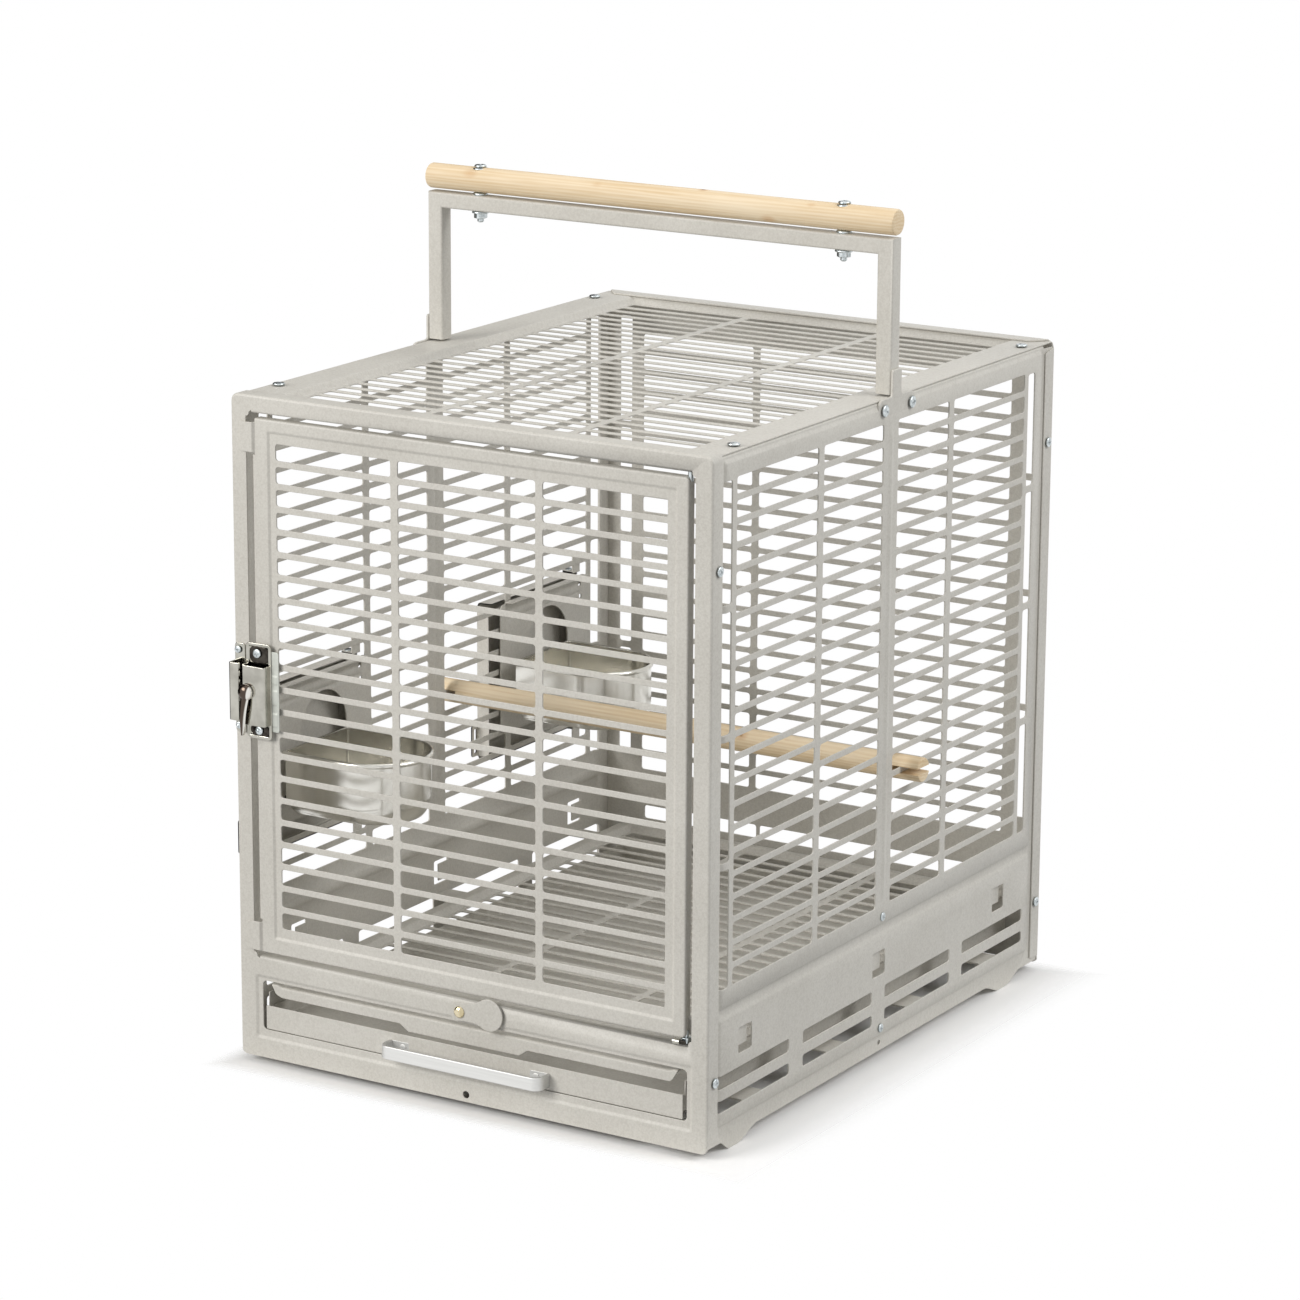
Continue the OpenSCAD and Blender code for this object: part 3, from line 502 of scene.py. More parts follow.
def bend_lines(x0, x1, z0, z1, r, big_r=BEND, t=T):
    """Lines of points along the bend that wrap makes."""
    rc, rm = max(r - big_r, 0.01), big_r - t / 2
    made = []
    for k in range(5):
        s = rm * pi / 2 * k / 4
        loop = rr(x0 + big_r - s, z0 + big_r - s, x1 - big_r + s, z1 - big_r + s, rc + s, 5)
        made.append(loop + loop[:1])
    return made


def press_lines(u0, v0, u1, v1, ru, rv0, rv1):
    """Lines of points along the sides of a pressed area."""
    us = [u0 + ru * k / 4 for k in range(5)] + [u1 - ru * k / 4 for k in range(5)]
    vs = [v0 + rv0 * k / 4 for k in range(5)] + [v1 - rv1 * k / 4 for k in range(5)]
    return [[(u, v0), (u, v1)] for u in us] + [[(u0, v), (u1, v)] for v in vs]


def press(u, v, u0, v0, u1, v1, h, ru, rv0, rv1):
    """A pressed area with smooth sides."""
    return (h * sstep((u - u0) / ru) * sstep((u1 - u) / ru)
            * sstep((v - v0) / rv0) * sstep((v1 - v) / rv1))


def slope(u, v, u0, v0, u1, v1, h, ru, rv0, rv1):
    """A pressed area with straight sloping sides."""
    ramps = ((u - u0) / ru, (u1 - u) / ru, (v - v0) / rv0, (v1 - v) / rv1)
    return h * np.prod([np.clip(ramp, 0, 1) for ramp in ramps], axis=0)


def pressed(area, h, runs):
    """Relief and lines of points of one pressed area."""
    return lambda u, v: press(u, v, *area, h, *runs), press_lines(*area, *runs)


def fold_lines(start, bend, v0, v1, n):
    """Lines of points along a straight bend; bend is its radius, negative towards lower u."""
    return [[(start + bend * pi / 2 * k / n, v) for v in (v0, v1)] for k in range(n + 1)]


def slots(bays, v0, rows, r=2.0):
    """A grille: rows of slots in each bay."""
    return [rr(a, v0 + k * PITCH, b, v0 + k * PITCH + SLOT, r) for a, b in bays
            for k in range(rows)]


def edge_slots(u0, u1):
    """The four narrow slots beside a grille."""
    step = (ROWS * PITCH - 4.2 + 4) / 4
    return [rr(u0, SIDE_BOT + k * step, u1, SIDE_BOT + (k + 1) * step - 5, 2.0)
            for k in range(4)]


# ---- front panel
def folded_outline(x_end, upper):
    """Outline of the front or back panel: its foot and upper corner, and both mirrored."""
    half = [(HW - 5, 0)] + arc(HW - 5, 5, 5, -80, -25, 4)
    half += [(HW - 1.0, 5.6), (x_end - 2, 6.2)] + arc(x_end - 2, 8.4, 2, -60, 0, 3) + upper
    return half + [(-u, v) for u, v in half[::-1]]


def front_panel():
    lip = BEND
    x_end = HW - lip + flat_of(13)
    outer = folded_outline(x_end, arc(HW - 5, H - 5, x_end - HW + 5, 8, 82, 9))
    # Door opening, with a round relief at each corner and folded edges below and above
    dx0, dx1, dz0, dz1 = -173.5, 173.0, 72.3, 448.2
    fold = flat_of(10, lip)
    lo, hi = dz0 - lip + fold, dz1 + lip - fold
    hole = ([(dx0, dz0 + 2.6)] + arc(dx0, dz0, 2.6, 90, -8, 6)[1:]
            + [(dx0 + 4.2, dz0 - lip), (dx0 + 5, lo), (dx1 - 3.4, lo), (dx1 - 2.8, dz0 - lip)]
            + arc(dx1, dz0, 2.6, 188, 90, 6)
            + arc(dx1, dz1, 2.6, 270, 172, 6)
            + [(dx1 - 2.8, dz1 + lip), (dx1 - 3.4, hi), (dx0 + 5, hi), (dx0 + 4.2, dz1 + lip)]
            + arc(dx0, dz1, 2.6, 8, -90, 6))
    tray_opening = rr(-167.5, 20, 169.3, 55, 3.2, 6)
    hanging_hole, rivet_hole = disc(-1.1, 5.2, 2.5), disc(-4.4, 63.4, 2.0)
    holes = [hole, tray_opening, hanging_hole, rivet_hole]
    relief, press_at = pressed((-173.4, 12.8, 174.6, 59.4), -1.1, (3.0, 3.0, 3.0))

    def place(u, v, h):
        x, z, depth = wrap(u, v, h, -HW, HW, -BIG, H, 5)
        for edge, way in ((dz0, -1), (dz1, 1)):
            s = (v - edge) * -way + lip
            inside = (s > 0) & (s < 14) & (u > dx0 + 4) & (u < dx1 - 2.6)
            rm = lip - T / 2
            ph = np.clip(s / rm, 0, pi / 2)
            z = np.where(inside, edge + way * (lip - (rm + h) * np.sin(ph)), z)
            depth = np.where(inside, lip - (rm + h) * np.cos(ph)
                             + np.maximum(s - rm * pi / 2, 0), depth)
        return mm(x, depth, z)

    lines = bend_lines(-HW, HW, -BIG, H, 5) + press_at
    for edge, way in ((dz0, -1), (dz1, 1)):
        for k in range(5):
            v = edge + way * lip - way * (lip - T / 2) * pi / 2 * k / 4
            lines.append([(dx0 + 4.3, v), (dx1 - 2.9, v)])
    b = Build()
    b.sheet(place, outer, holes, lines, relief)
    b.done("front_shell", PAINT, "frame", ["front_panel"])


# ---- back panel
def back_panel():
    far = flat_of(13)
    x_end, z_end = HW - BEND + far, H - BEND + far
    outer = folded_outline(x_end, [(x_end, H - 8), (HW - 0.8, H - 5.6), (HW - 1.6, H - 2.4),
                                   (HW - 4.6, H - 0.6), (HW - 5.4, H + 2), (HW - 14, z_end)])
    holes = slots(BAYS, FRONT_BOT, ROWS) + edge_slots(-173, -163) + edge_slots(163, 173)
    holes += [rr(-150 + k * 101, 56, -52 + k * 101, 66, 2.0) for k in range(3)]

    def place(u, v, h):
        x, z, depth = wrap(u, v, h, -HW, HW, -BIG, H, PLAIN)
        return mm(-x, DEPTH - depth, z)

    b = Build()
    b.sheet(place, outer, holes, bend_lines(-HW, HW, -BIG, H, PLAIN))
    b.done("back_shell", PAINT, "frame", ["back_panel"])


# ---- side panels
# Places along a side panel from its front edge: grille bays, middles of the hook windows, vents
SIDE_BAYS = [(29, 132.5), (139.5, 219), (239, 310.5), (317.5, 422)]
HOOKS = [47, 226, 401]
VENTS = [(13, 104.5), (123, 217.4), (235.3, 329), (347.6, 439)]
# Pressed areas: place, height, and widths of their sides, below and above last
UPPER_PAD, UPPER_HIGH, UPPER_RUNS = (14.2, 93.2, 449.2, 455.4), 1.9, (2.4, 2.1, 3.0)
LOWER_PAD, LOWER_HIGH, LOWER_RUNS = (14.2, 13.4, 449.2, 88.6), 1.5, (2.4, 1.9, 3.0)
# Feet: where each begins, is fully down, begins to rise and ends
FEET = ((18, 31, 41, 66), (386, 410, 420, 442))


def foot_edge():
    """Lower edge of a side panel, from front to back."""
    made = [(1.3, 2.5)]
    for y0, y1, y2, y3 in FEET:
        for k in range(11):
            y = y0 + (y1 - y0) * k / 10
            made.append((y, 2.5 - 7 * float(sstep(k / 10))))
        for k in range(11):
            y = y2 + (y3 - y2) * k / 10
            made.append((y, -4.5 + 7 * float(sstep(k / 10))))
    return made + [(DEPTH - 1.3, 2.5)]


def side_relief(u, v):
    a = slope(u, v, *UPPER_PAD, UPPER_HIGH, *UPPER_RUNS)
    b = slope(u, v, *LOWER_PAD, LOWER_HIGH, *LOWER_RUNS)
    rib = 0.7 * np.exp(-((u - 229) / 2.2) ** 2) * sstep((v - 109) / 8) * sstep((441 - v) / 8)
    return a + b + rib


def side_panel(right):
    far = flat_of(16)
    edge = foot_edge()
    outer = edge + [(DEPTH - 1.3, REST_Z - 2.4), (DEPTH - 14.4, REST_Z - 1.9),
                    (DEPTH - 14.6, REST_Z - BEND + far), (14.6, REST_Z - BEND + far),
                    (14.4, REST_Z - 1.9), (1.3, REST_Z - 2.4)]
    holes = slots(SIDE_BAYS, SIDE_BOT, ROWS) + edge_slots(13.4, 23.4) + edge_slots(427.5, 437.5)
    holes += [rr(y - 8.5, 58.1, y + 8.5, 75.6, 1.2) for y in HOOKS]
    for a, b in VENTS:
        holes += [rr(a, 40, b, 49, 2.0), rr(a, 24, b, 32, 2.0)]
    holes += [disc(231, 8.5, 1.7, 12)]
    if not right:
        # Feeder cut-outs: slots that they meet are shortened or dropped
        low, high, half = 165, 238, 36
        cuts = [(DEPTH - y - half, DEPTH - y + half) for _, y in FEEDERS]
        kept = []
        for hole in holes:
            q = np.array(hole)
            hit = [c for c in cuts if q[:, 0].max() > c[0] and q[:, 0].min() < c[1]
                   and q[:, 1].max() > low and q[:, 1].min() < high]
            if not hit:
                kept.append(hole)
                continue
            lo, hi = q.min(0), q.max(0)
            c = hit[0]
            for a, b in ((lo[0], c[0] - 3), (c[1] + 3, hi[0])):
                if b - a > 8:
                    kept.append(rr(a, lo[1], b, hi[1], 2.0))
        holes = kept + [rr(c[0], low, c[1], high, 3.0) for c in cuts]
    at = right_at if right else left_at

    def place(u, v, h):
        _, z, depth = wrap(u, v, h, -BIG, BIG, -BIG, REST_Z, PLAIN)
        return at(WALL)(u, z, -depth)

    lines = bend_lines(-BIG, BIG, -BIG, REST_Z, PLAIN)
    lines += press_lines(*UPPER_PAD, *UPPER_RUNS) + press_lines(*LOWER_PAD, *LOWER_RUNS)
    lines += [[(229 + d, 109), (229 + d, 441)] for d in (-5, -3.2, -2, -1, 0, 1, 2, 3.2, 5)]
    lines += [[(224, v), (234, v)] for v in (109, 113, 117, 433, 437, 441)]
    b = Build()
    b.sheet(place, outer, holes, lines, side_relief)
    for y in HOOKS:
        hook(b, at, y)
    name = "right" if right else "left"
    b.done(name + "_shell", PAINT, "frame", [name + "_panel"])


def hook(b, at, y):
    """Lanced tongue: from the window's front edge a little inward, then along the wall."""
    def tongue(u, v, h):
        return at(WALL - 0.6)(u, v, h - 1.7 * sstep((u - y + 8.4) / 3.0))

    cols = [[(y - 8.9 + 0.5 * k, 60.0), (y - 8.9 + 0.5 * k, 75.0)] for k in range(1, 8)]
    b.sheet(tongue, rr(y - 8.9, 61.6, y + 7.6, 74.4, 0.8), (), cols, t=1.1)


# ---- top and floor
# The dish that is pressed into both sheets: half width, rear end, depth
DISH_X, DISH_BACK, DISH_DEPTH = 158.5, 457.4, 5.0


def top_panel():
    relief, lines = pressed((-DISH_X, 19.6, DISH_X, DISH_BACK), -DISH_DEPTH, (5, 5, 5))
    holes = slots(BAYS, 25, 28)
    holes += [disc(s * 176, y, 1.9, 12) for s in (-1, 1) for y in (41, 435)]
    b = Build()
    b.sheet(up_at(RIM_Z - 0.6), rr(-183.6, 1.4, 183.6, DEPTH - 1.4, 1.0), holes, lines, relief,
            w=0.5)
    b.done("top_shell", PAINT, "frame", ["top_panel"])


def floor_grate():
    x, y1, z = DISH_X, DISH_BACK, 52.6

    def place(u, v, h):
        _, y, depth = wrap(u, v, h, -BIG, BIG, 4.0, BIG, PLAIN)
        sides = sstep((x - np.abs(u)) / 5.0) * sstep((y1 - v) / 5.0)
        return mm(u, y, z - depth - sides * (1.4 + 3.6 * sstep((v - 7) / 7.0)))

    # Lower edge of the front flange, and its deeper middle
    low = 5.7 - flat_of(7.6)
    mid = low - 4.6
    outer = [(-165, 26), (-162.4, 24), (-162.4, 4.6), (-159.2, low + 1.0), (-157.6, low), (-57, low),
             (-50, mid), (38, mid), (45, low), (155, low), (157, low + 1.0), (160.6, 4.6),
             (160.6, 24), (165, 26), (165, 459.8), (-165, 459.8)]
    lines = bend_lines(-BIG, BIG, 4.0, BIG, PLAIN)
    for k in range(5):
        lines += [[(s * (x - 5 * k / 4), low), (s * (x - 5 * k / 4), 459)] for s in (-1, 1)]
        lines += [[(-x, y1 - 5 * k / 4), (x, y1 - 5 * k / 4)]]
    lines += [[(-160, 7 + 7 * k / 6), (160, 7 + 7 * k / 6)] for k in range(7)]
    b = Build()
    b.sheet(place, outer, slots(BAYS, 25, 28), lines)
    b.done("floor_sheet", PAINT, "grate", ["floor_grate"])


# ---- door
def door_panel():
    x0, x1, z0, z1 = -168.6, 168.2, 76.2, 445.0
    far = flat_of(7, 1.5)
    ux0, ux1, vz0, vz1 = x0 + 1.5 - far, x1 - 1.5 + far, z0 + 1.5 - far, z1 - 1.5 + far
    tabs = [(z0 + 0.6, z0 + 20.6), (z1 - 23, z1 - 3)]
    left = []
    for a, b in tabs[::-1]:
        left += [(ux0, b + 2.2), (x0 + 2.2, b + 2.2), (x0 + 2.2, b + 0.2)]
        left += [(x0 - 8, b), (x0 - 9, b - 1), (x0 - 9, a + 1), (x0 - 8, a)]
        left += [(x0 + 2.2, a - 0.2), (x0 + 2.2, a - 1.8), (ux0, a - 1.8)]
    left = left[:-3] + [(x0 + 2.2, vz0)]
    outer = ([(x0 + 6, vz0), (x1 - 4, vz0)] + arc(x1 - 3, z0 + 3, ux1 - x1 + 3, -70, -20, 4)
             + arc(x1 - 3, z1 - 3, ux1 - x1 + 3, 0, 90, 6)
             + [(x0 + 4, vz1)] + arc(x0 + 3, z1 - 3, ux1 - x1 + 3, 95, 160, 4) + left)
    holes = slots([(-150.4, -58.85), (-53.15, 53.15)], FRONT_BOT, ROWS)
    # Right bay: the slots' right ends are nearly square
    a, b, soft, tight = 58.85, 152.0, 2, 0.8
    for k in range(ROWS):
        low = FRONT_BOT + k * PITCH
        high = low + SLOT
        holes.append(arc(a + soft, low + soft, soft, 180, 270, 4)
                     + arc(b - tight, low + tight, tight, -90, 0, 3)
                     + arc(b - tight, high - tight, tight, 0, 90, 3)
                     + arc(a + soft, high - soft, soft, 90, 180, 4))
    relief, press_at = pressed((-157.0, 85.7, 160.2, 437.7), -1.1, (2.6, 2.6, 2.6))

    def place(u, v, h):
        x, z, depth = wrap(u, v, h, x0, x1, z0, z1, 3.0, 1.5)
        tab = np.zeros_like(u, bool)
        for a, b in tabs:
            tab |= (v > a - 1) & (v < b + 1) & (u < x0 + 4)
        lift = 1.6 * sstep((x0 + 3.0 - u) / 2.6)
        return mm(np.where(tab, u, x), np.where(tab, T / 2 - h - lift, depth), np.where(tab, v, z))

    lines = bend_lines(x0, x1, z0, z1, 3.0, 1.5) + press_at
    for a, b in tabs:
        lines += [[(x0 + 3.0 - 2.6 * k / 5, a), (x0 + 3.0 - 2.6 * k / 5, b)] for k in range(6)]
    b = Build()
    b.sheet(place, outer, holes, lines, relief)
    b.done("door_leaf", PAINT, "door", ["door_panel"])


# ---- small shapes
def facing(at, axis, turn=0.0):
    """A flat pattern lying round the point at, facing axis."""
    z = Vector(axis).normalized()
    x = Vector((1, 0, 0)) if abs(z.x) < 0.9 else Vector((0, 1, 0))
    x = (x - z * x.dot(z)).normalized()
    x, y, z = (np.array(d) for d in (x, z.cross(x), z))
    c, s = cos(turn), sin(turn)
    x, y = x * c + y * s, y * c - x * s
    o = mm(*at)
    return lambda u, v, h: (o + 0.001 * (np.multiply.outer(u, x) + np.multiply.outer(v, y)
                                         + np.multiply.outer(h, z)))


def pan_head(b, at, axis, r, h, turn=0.5):
    """Domed head with a cross recess, its seat at the point at."""
    arm, wide = 0.56 * r, 0.13 * r
    cross = [(wide, -arm), (wide, -wide), (arm, -wide), (arm, wide), (wide, wide), (wide, arm),
             (-wide, arm), (-wide, wide), (-arm, wide), (-arm, -wide), (-wide, -wide),
             (-wide, -arm)]
    inner = [tuple(q) for q in offset(cross, -0.05 * r)]

    def relief(u, v):
        far = np.hypot(u, v) / r
        a, c = np.minimum(np.abs(u), np.abs(v)), np.maximum(np.abs(u), np.abs(v))
        sunk = (a < wide - 0.03 * r) & (c < arm - 0.03 * r)
        return 0.42 * h * np.sqrt(np.maximum(1 - (0.93 * far) ** 2, 0)) - 0.62 * h * sunk

    lines = [cross + cross[:1], inner + inner[:1]]
    lines += [disc(0, 0, q * r, 20) + [(q * r, 0)] for q in (0.66, 0.82, 0.92)]
    seat = [a + d * 0.3 * h for a, d in zip(at, Vector(axis).normalized())]
    b.sheet(facing(seat, axis, turn), disc(0, 0, r, 28), (), lines, relief, t=0.6 * h,
            w=min(0.28 * h, 0.3 * r))


def nut(b, at, r, h, turn):
    """Hexagon nut on an upright bolt."""
    x, y, z = at
    b.sheet(facing((x, y, z + h / 2), UP, turn), disc(0, 0, r, 6), t=h, w=0.5)


def washer(b, at, axis, r, t):
    b.lathe(at, axis, [(r * 0.3, 0), (r - 0.3, 0), (r, 0.25 * t), (r, 0.75 * t), (r - 0.3, t),
                       (r * 0.3, t)])


def thread(b, at, axis, r, length, pitch=0.8):
    profile = [(r - 0.3, 0)]
    for k in range(int(length / pitch)):
        profile += [(r, pitch * k + 0.25), (r - 0.35, pitch * k + 0.65)]
    b.lathe(at, axis, profile + [(r - 0.9, length)], 18)


# ---- screws
def screw_heads(name, body, node, screws):
    """One piece of screw heads: place, way out, radius, height and turn of each."""
    b = Build()
    for screw in screws:
        pan_head(b, *screw)
    b.done(name, ZINC, body, [node])


def fasteners():
    sides, in_from_edge = (-1, 1), 8
    screw_heads("bracket_screw_heads", "frame", "bracket_screws", [
        ((s * (WALL + 2), y, H - in_from_edge), (s, 0, 0), 4.2, 2.6, y)
        for s in sides for y in (GRIP_Y - 18.4, GRIP_Y + 18.7)])
    screw_heads("panel_screw_heads", "frame", "panel_screws", [
        ((s * HW, y, z), (s, 0, 0), 3.6, 2.2, z) for s in sides
        for y, low, high in ((in_from_edge, 47.2, 74.4), (DEPTH - in_from_edge, 48.7, 72.1))
        for z in (low, H - high)])
    screw_heads("stile_screw_heads", "frame", "stile_screws", [
        ((s * (WALL + 1.1), y, z), (s, 0, 0), 3.2, 2.0, z)
        for s, y in ((1, 229), (-1, DEPTH - 229)) for z in (99.8, 20)])
    screw_heads("top_screw_heads", "frame", "top_screws", [
        ((s * (HW - 9.6), y, RIM_Z), UP, 4.2, 2.4, y)
        for s in sides for y in (41, DEPTH - 32.8)])


# ---- carrying handle
def tube_u():
    # Square tube: up the left side, mitred across and down the right side
    b = Build()
    wide, high = 12, 11
    section = rr(0, 0, wide, wide, 1.7, 3)

    def ring(s, up):
        return [(s * (WALL - a), GRIP_Y - wide / 2 + c,
                 TUBE_TOP - a * high / wide if up else H + 0.1) for a, c in section]

    b.rings([ring(-1, False), ring(-1, True), ring(1, True), ring(1, False)])
    b.done("handle_tube", PAINT, "frame", ["handle_frame"], own=False)

    b = Build()
    outer = ([(217, 447.2)] + arc(255, 453.3, 6.1, -90, 90, 8) + arc(244.2, 461.6, 2.2, 270, 180, 3)
             + arc(240.4, 475.4, 1.6, 0, 90, 3) + arc(231.6, 475.4, 1.6, 90, 180, 3)
             + arc(227.8, 461.6, 2.2, 0, -90, 3) + arc(217, 453.3, 6.1, 90, 265, 8))
    for at in (lambda u, v, h: mm(-WALL - 1 - h, 2 * GRIP_Y - u, v), right_at(WALL + 1)):
        b.sheet(at, outer, t=2.0, w=0.7)
    b.done("handle_plates", PAINT, "frame", ["handle_brackets"])

    # Bolts: head and washer on the grip, spacer on the tube, washer, thread and nut below it
    b = Build()
    bolt_x = 144
    top = TUBE_TOP + GRIP_GAP + 2 * GRIP_R
    below = TUBE_TOP - 13
    for s in (-1, 1):
        x = s * bolt_x
        washer(b, (x, GRIP_Y, top - 1.5), UP, 5.3, 1.1)
        pan_head(b, (x, GRIP_Y, top - 0.5), UP, 4.3, 2.6, x)
        washer(b, (x, GRIP_Y, TUBE_TOP - 0.1), UP, 5.2, GRIP_GAP)
        washer(b, (x, GRIP_Y, below + 0.4), UP, 6.0, 1.4)
        thread(b, (x, GRIP_Y, below), (0, 0, -1), 2.4, 6)
    b.done("grip_bolts", ZINC, "frame", ["handle_bolts"])
    b = Build()
    for s in (-1, 1):
        nut(b, (s * bolt_x, GRIP_Y, below - 3.2), 4.7, 3.8, 0.3 * s)
    b.done("grip_nuts", ZINC, "frame", ["handle_nuts"])


def turned(b, x0, x1, y, z, r, soft, n=48, steps=40):
    """Round bar along x with softened ends and a slight hand-sanded waver."""
    prof = [(x0, r * 0.02), (x0, r - soft), (x0 + soft * 0.3, r - soft * 0.3), (x0 + soft, r)]
    prof += [(x0 + soft + (x1 - x0 - 2 * soft) * k / steps, r) for k in range(1, steps)]
    prof += [(x1 - soft, r), (x1 - soft * 0.3, r - soft * 0.3), (x1, r - soft), (x1, r * 0.02)]
    rings = []
    for x, q in prof:
        q *= 1 + 0.006 * sin(x * 0.05) * (q > r * 0.9)
        rings.append([(x, y + q * cos(2 * pi * i / n), z + q * sin(2 * pi * i / n))
                      for i in range(n)])
    b.rings(rings)


def wooden():
    b = Build()
    turned(b, -HW + 0.6, HW - 0.6, GRIP_Y, TUBE_TOP + GRIP_GAP + GRIP_R, GRIP_R, 1.6)
    b.done("grip_wood", WOOD, "frame", ["handle_grip"], own=False)

    # Perch: each end is split by a notch that takes a bar of the side panel
    b = Build()
    y, z, r, low = 259.0, 198.1, 8.5, 2.3
    turned(b, -177.6, 177.6, y, z, r, 0.4)
    start = asin(low / r)
    turn = [start + (pi - 2 * start) * k / 22 for k in range(23)]
    for s in (-1, 1):
        for up in (-1, 1):
            rings = []
            for x, q in ((176.0, 1.0), (198.4, 1.0), (199.2, 0.97), (199.6, 0.92)):
                rings.append([(s * x, y + q * r * cos(a),
                               z + up * max(q * r * sin(a), low)) for a in turn])
            b.rings(rings)
    b.done("perch_wood", PERCH_WOOD, "frame", ["perch"], bevel=0.3, own=False)


# ---- tray
def tray():
    # Pan: rings by inset and height, up the outside, over the rim and down the inside
    x0, y0, x1, y1 = -164.5, 4.0, 164.5, 458.8
    b = Build()
    prof = [(3.0, 23.5), (1.2, 23.8), (0.35, 24.6), (0, 25.6), (0, 26.4), (0, 34.6), (0, 35.3),
            (0.15, 35.8), (0.5, 36), (0.85, 35.8), (1.0, 35.3), (1.0, 26.0), (1.4, 25.0),
            (2.6, 24.5)]
    b.rings([[(u, v, z) for u, v in rr(x0 + o, y0 + o, x1 - o, y1 - o, max(4.2 - o, 0.8), 5)]
             for o, z in prof])
    b.done("tray_shell", PAINT, "tray", ["tray_pan"], own=False)
    # Square front wall, a little taller than the pan, and a wing at each of its ends
    b = Build()
    b.sheet(front_at(2.6), rr(x0 - 1.2, 20.2, x1 + 1.2, 37.0, 0.7), t=1.0)
    wing = [(4.8, 35.0), (52, 35.0), (52, 36.4), (38, 38.5), (12, 45.8), (4.8, 46.0)]
    for x in (-165.0, 165.8):
        b.sheet(right_at(x), wing, t=0.9, w=0.3)
    b.done("tray_front", PAINT, "tray")

    # Pull: a thick strip bent back at both ends, with a foot riveted on at each
    b = Build()
    half, bend, thick, low, high = 64, 7.0, 2.4, 22.6, 32.0

    def place(u, v, h):
        x, _, depth = wrap(u, v, h, -half, half, -BIG, BIG, bend + 0.01, bend, thick)
        return mm(x, -11.6 + depth, v)

    flat, mean = half - bend, bend - thick / 2
    lines = fold_lines(-flat, -mean, low, high, 6) + fold_lines(flat, mean, low, high, 6)
    end = flat + flat_of(15.6, bend, thick)
    b.sheet(place, rr(-end, low, end, high, 0.9, 3), (), lines, t=thick, w=0.7)
    for u0, u1 in ((-62.5, -48), (48, 62.5)):
        b.sheet(front_at(3.0), rr(u0, low, u1, high, 1.2), t=2.0, w=0.5)
    b.done("tray_pull", ALU, "tray", ["tray_handle"])
    b = Build()
    flat_head = [(2.7, 0), (2.65, 0.4), (2.3, 0.55), (0.8, 0.6)]
    for x in (-53, 53):
        b.lathe((x, 2.0, 27.5), OUT, flat_head, 20)
        b.lathe((x, 5.0, 27.5), (0, 1, 0), flat_head, 20)
    b.done("pull_rivets", ALU, "tray", ["tray_rivets"], own=False)


# ---- turn tab
def turn_tab():
    """The tab in its stored place, turned aside from hanging down, and its rivet."""
    a = radians(-94)
    rx, rz = -4.4, 63.4

    def place(u, v, h):
        return mm(rx + u * cos(a) + v * sin(a), -1.9 - h,
                  rz - u * sin(a) + v * cos(a))

    # Squarish rounded top, then a concave flare into the round tip
    right = [(6.3, 2.2), (6.3, -3.0), (6.5, -8.0), (7.1, -12.0), (8.3, -15.6)]
    right += arc(0, -23, 11, 38, -90, 12)
    top = arc(3.0, 3.2, 3.3, 90, 0, 5)[::-1]
    half = right[::-1] + top
    outer = half + [(-u, v) for u, v in half[::-1]][:-1]
    b = Build()
    b.sheet(place, outer, [disc(0, 0, 2.05, 14)], w=0.45)
    b.done("tab_plate", PAINT, "tab", ["turn_tab"])
    b = Build()
    b.lathe((rx, 0, rz), OUT, [(4.0, 0), (4.0, 1.1), (2.0, 1.2), (2.0, 2.5), (3.9, 2.6),
                                      (4.0, 3.0), (3.7, 3.6), (2.9, 4.2), (1.7, 4.6), (0.6, 4.7)])
    b.lathe((rx, T, rz), (0, 1, 0), [(3.2, 0), (3.1, 0.5), (2.2, 0.8)])
    b.done("tab_rivet_dome", BRASS, "frame", ["tab_rivet"], own=False)


# ---- latch
# Lower and upper end of each pad on the flange, from the lever's pin
PADS = [(-23.8, -13.2), (-8.9, 2.7), (5.4, 12.7)]


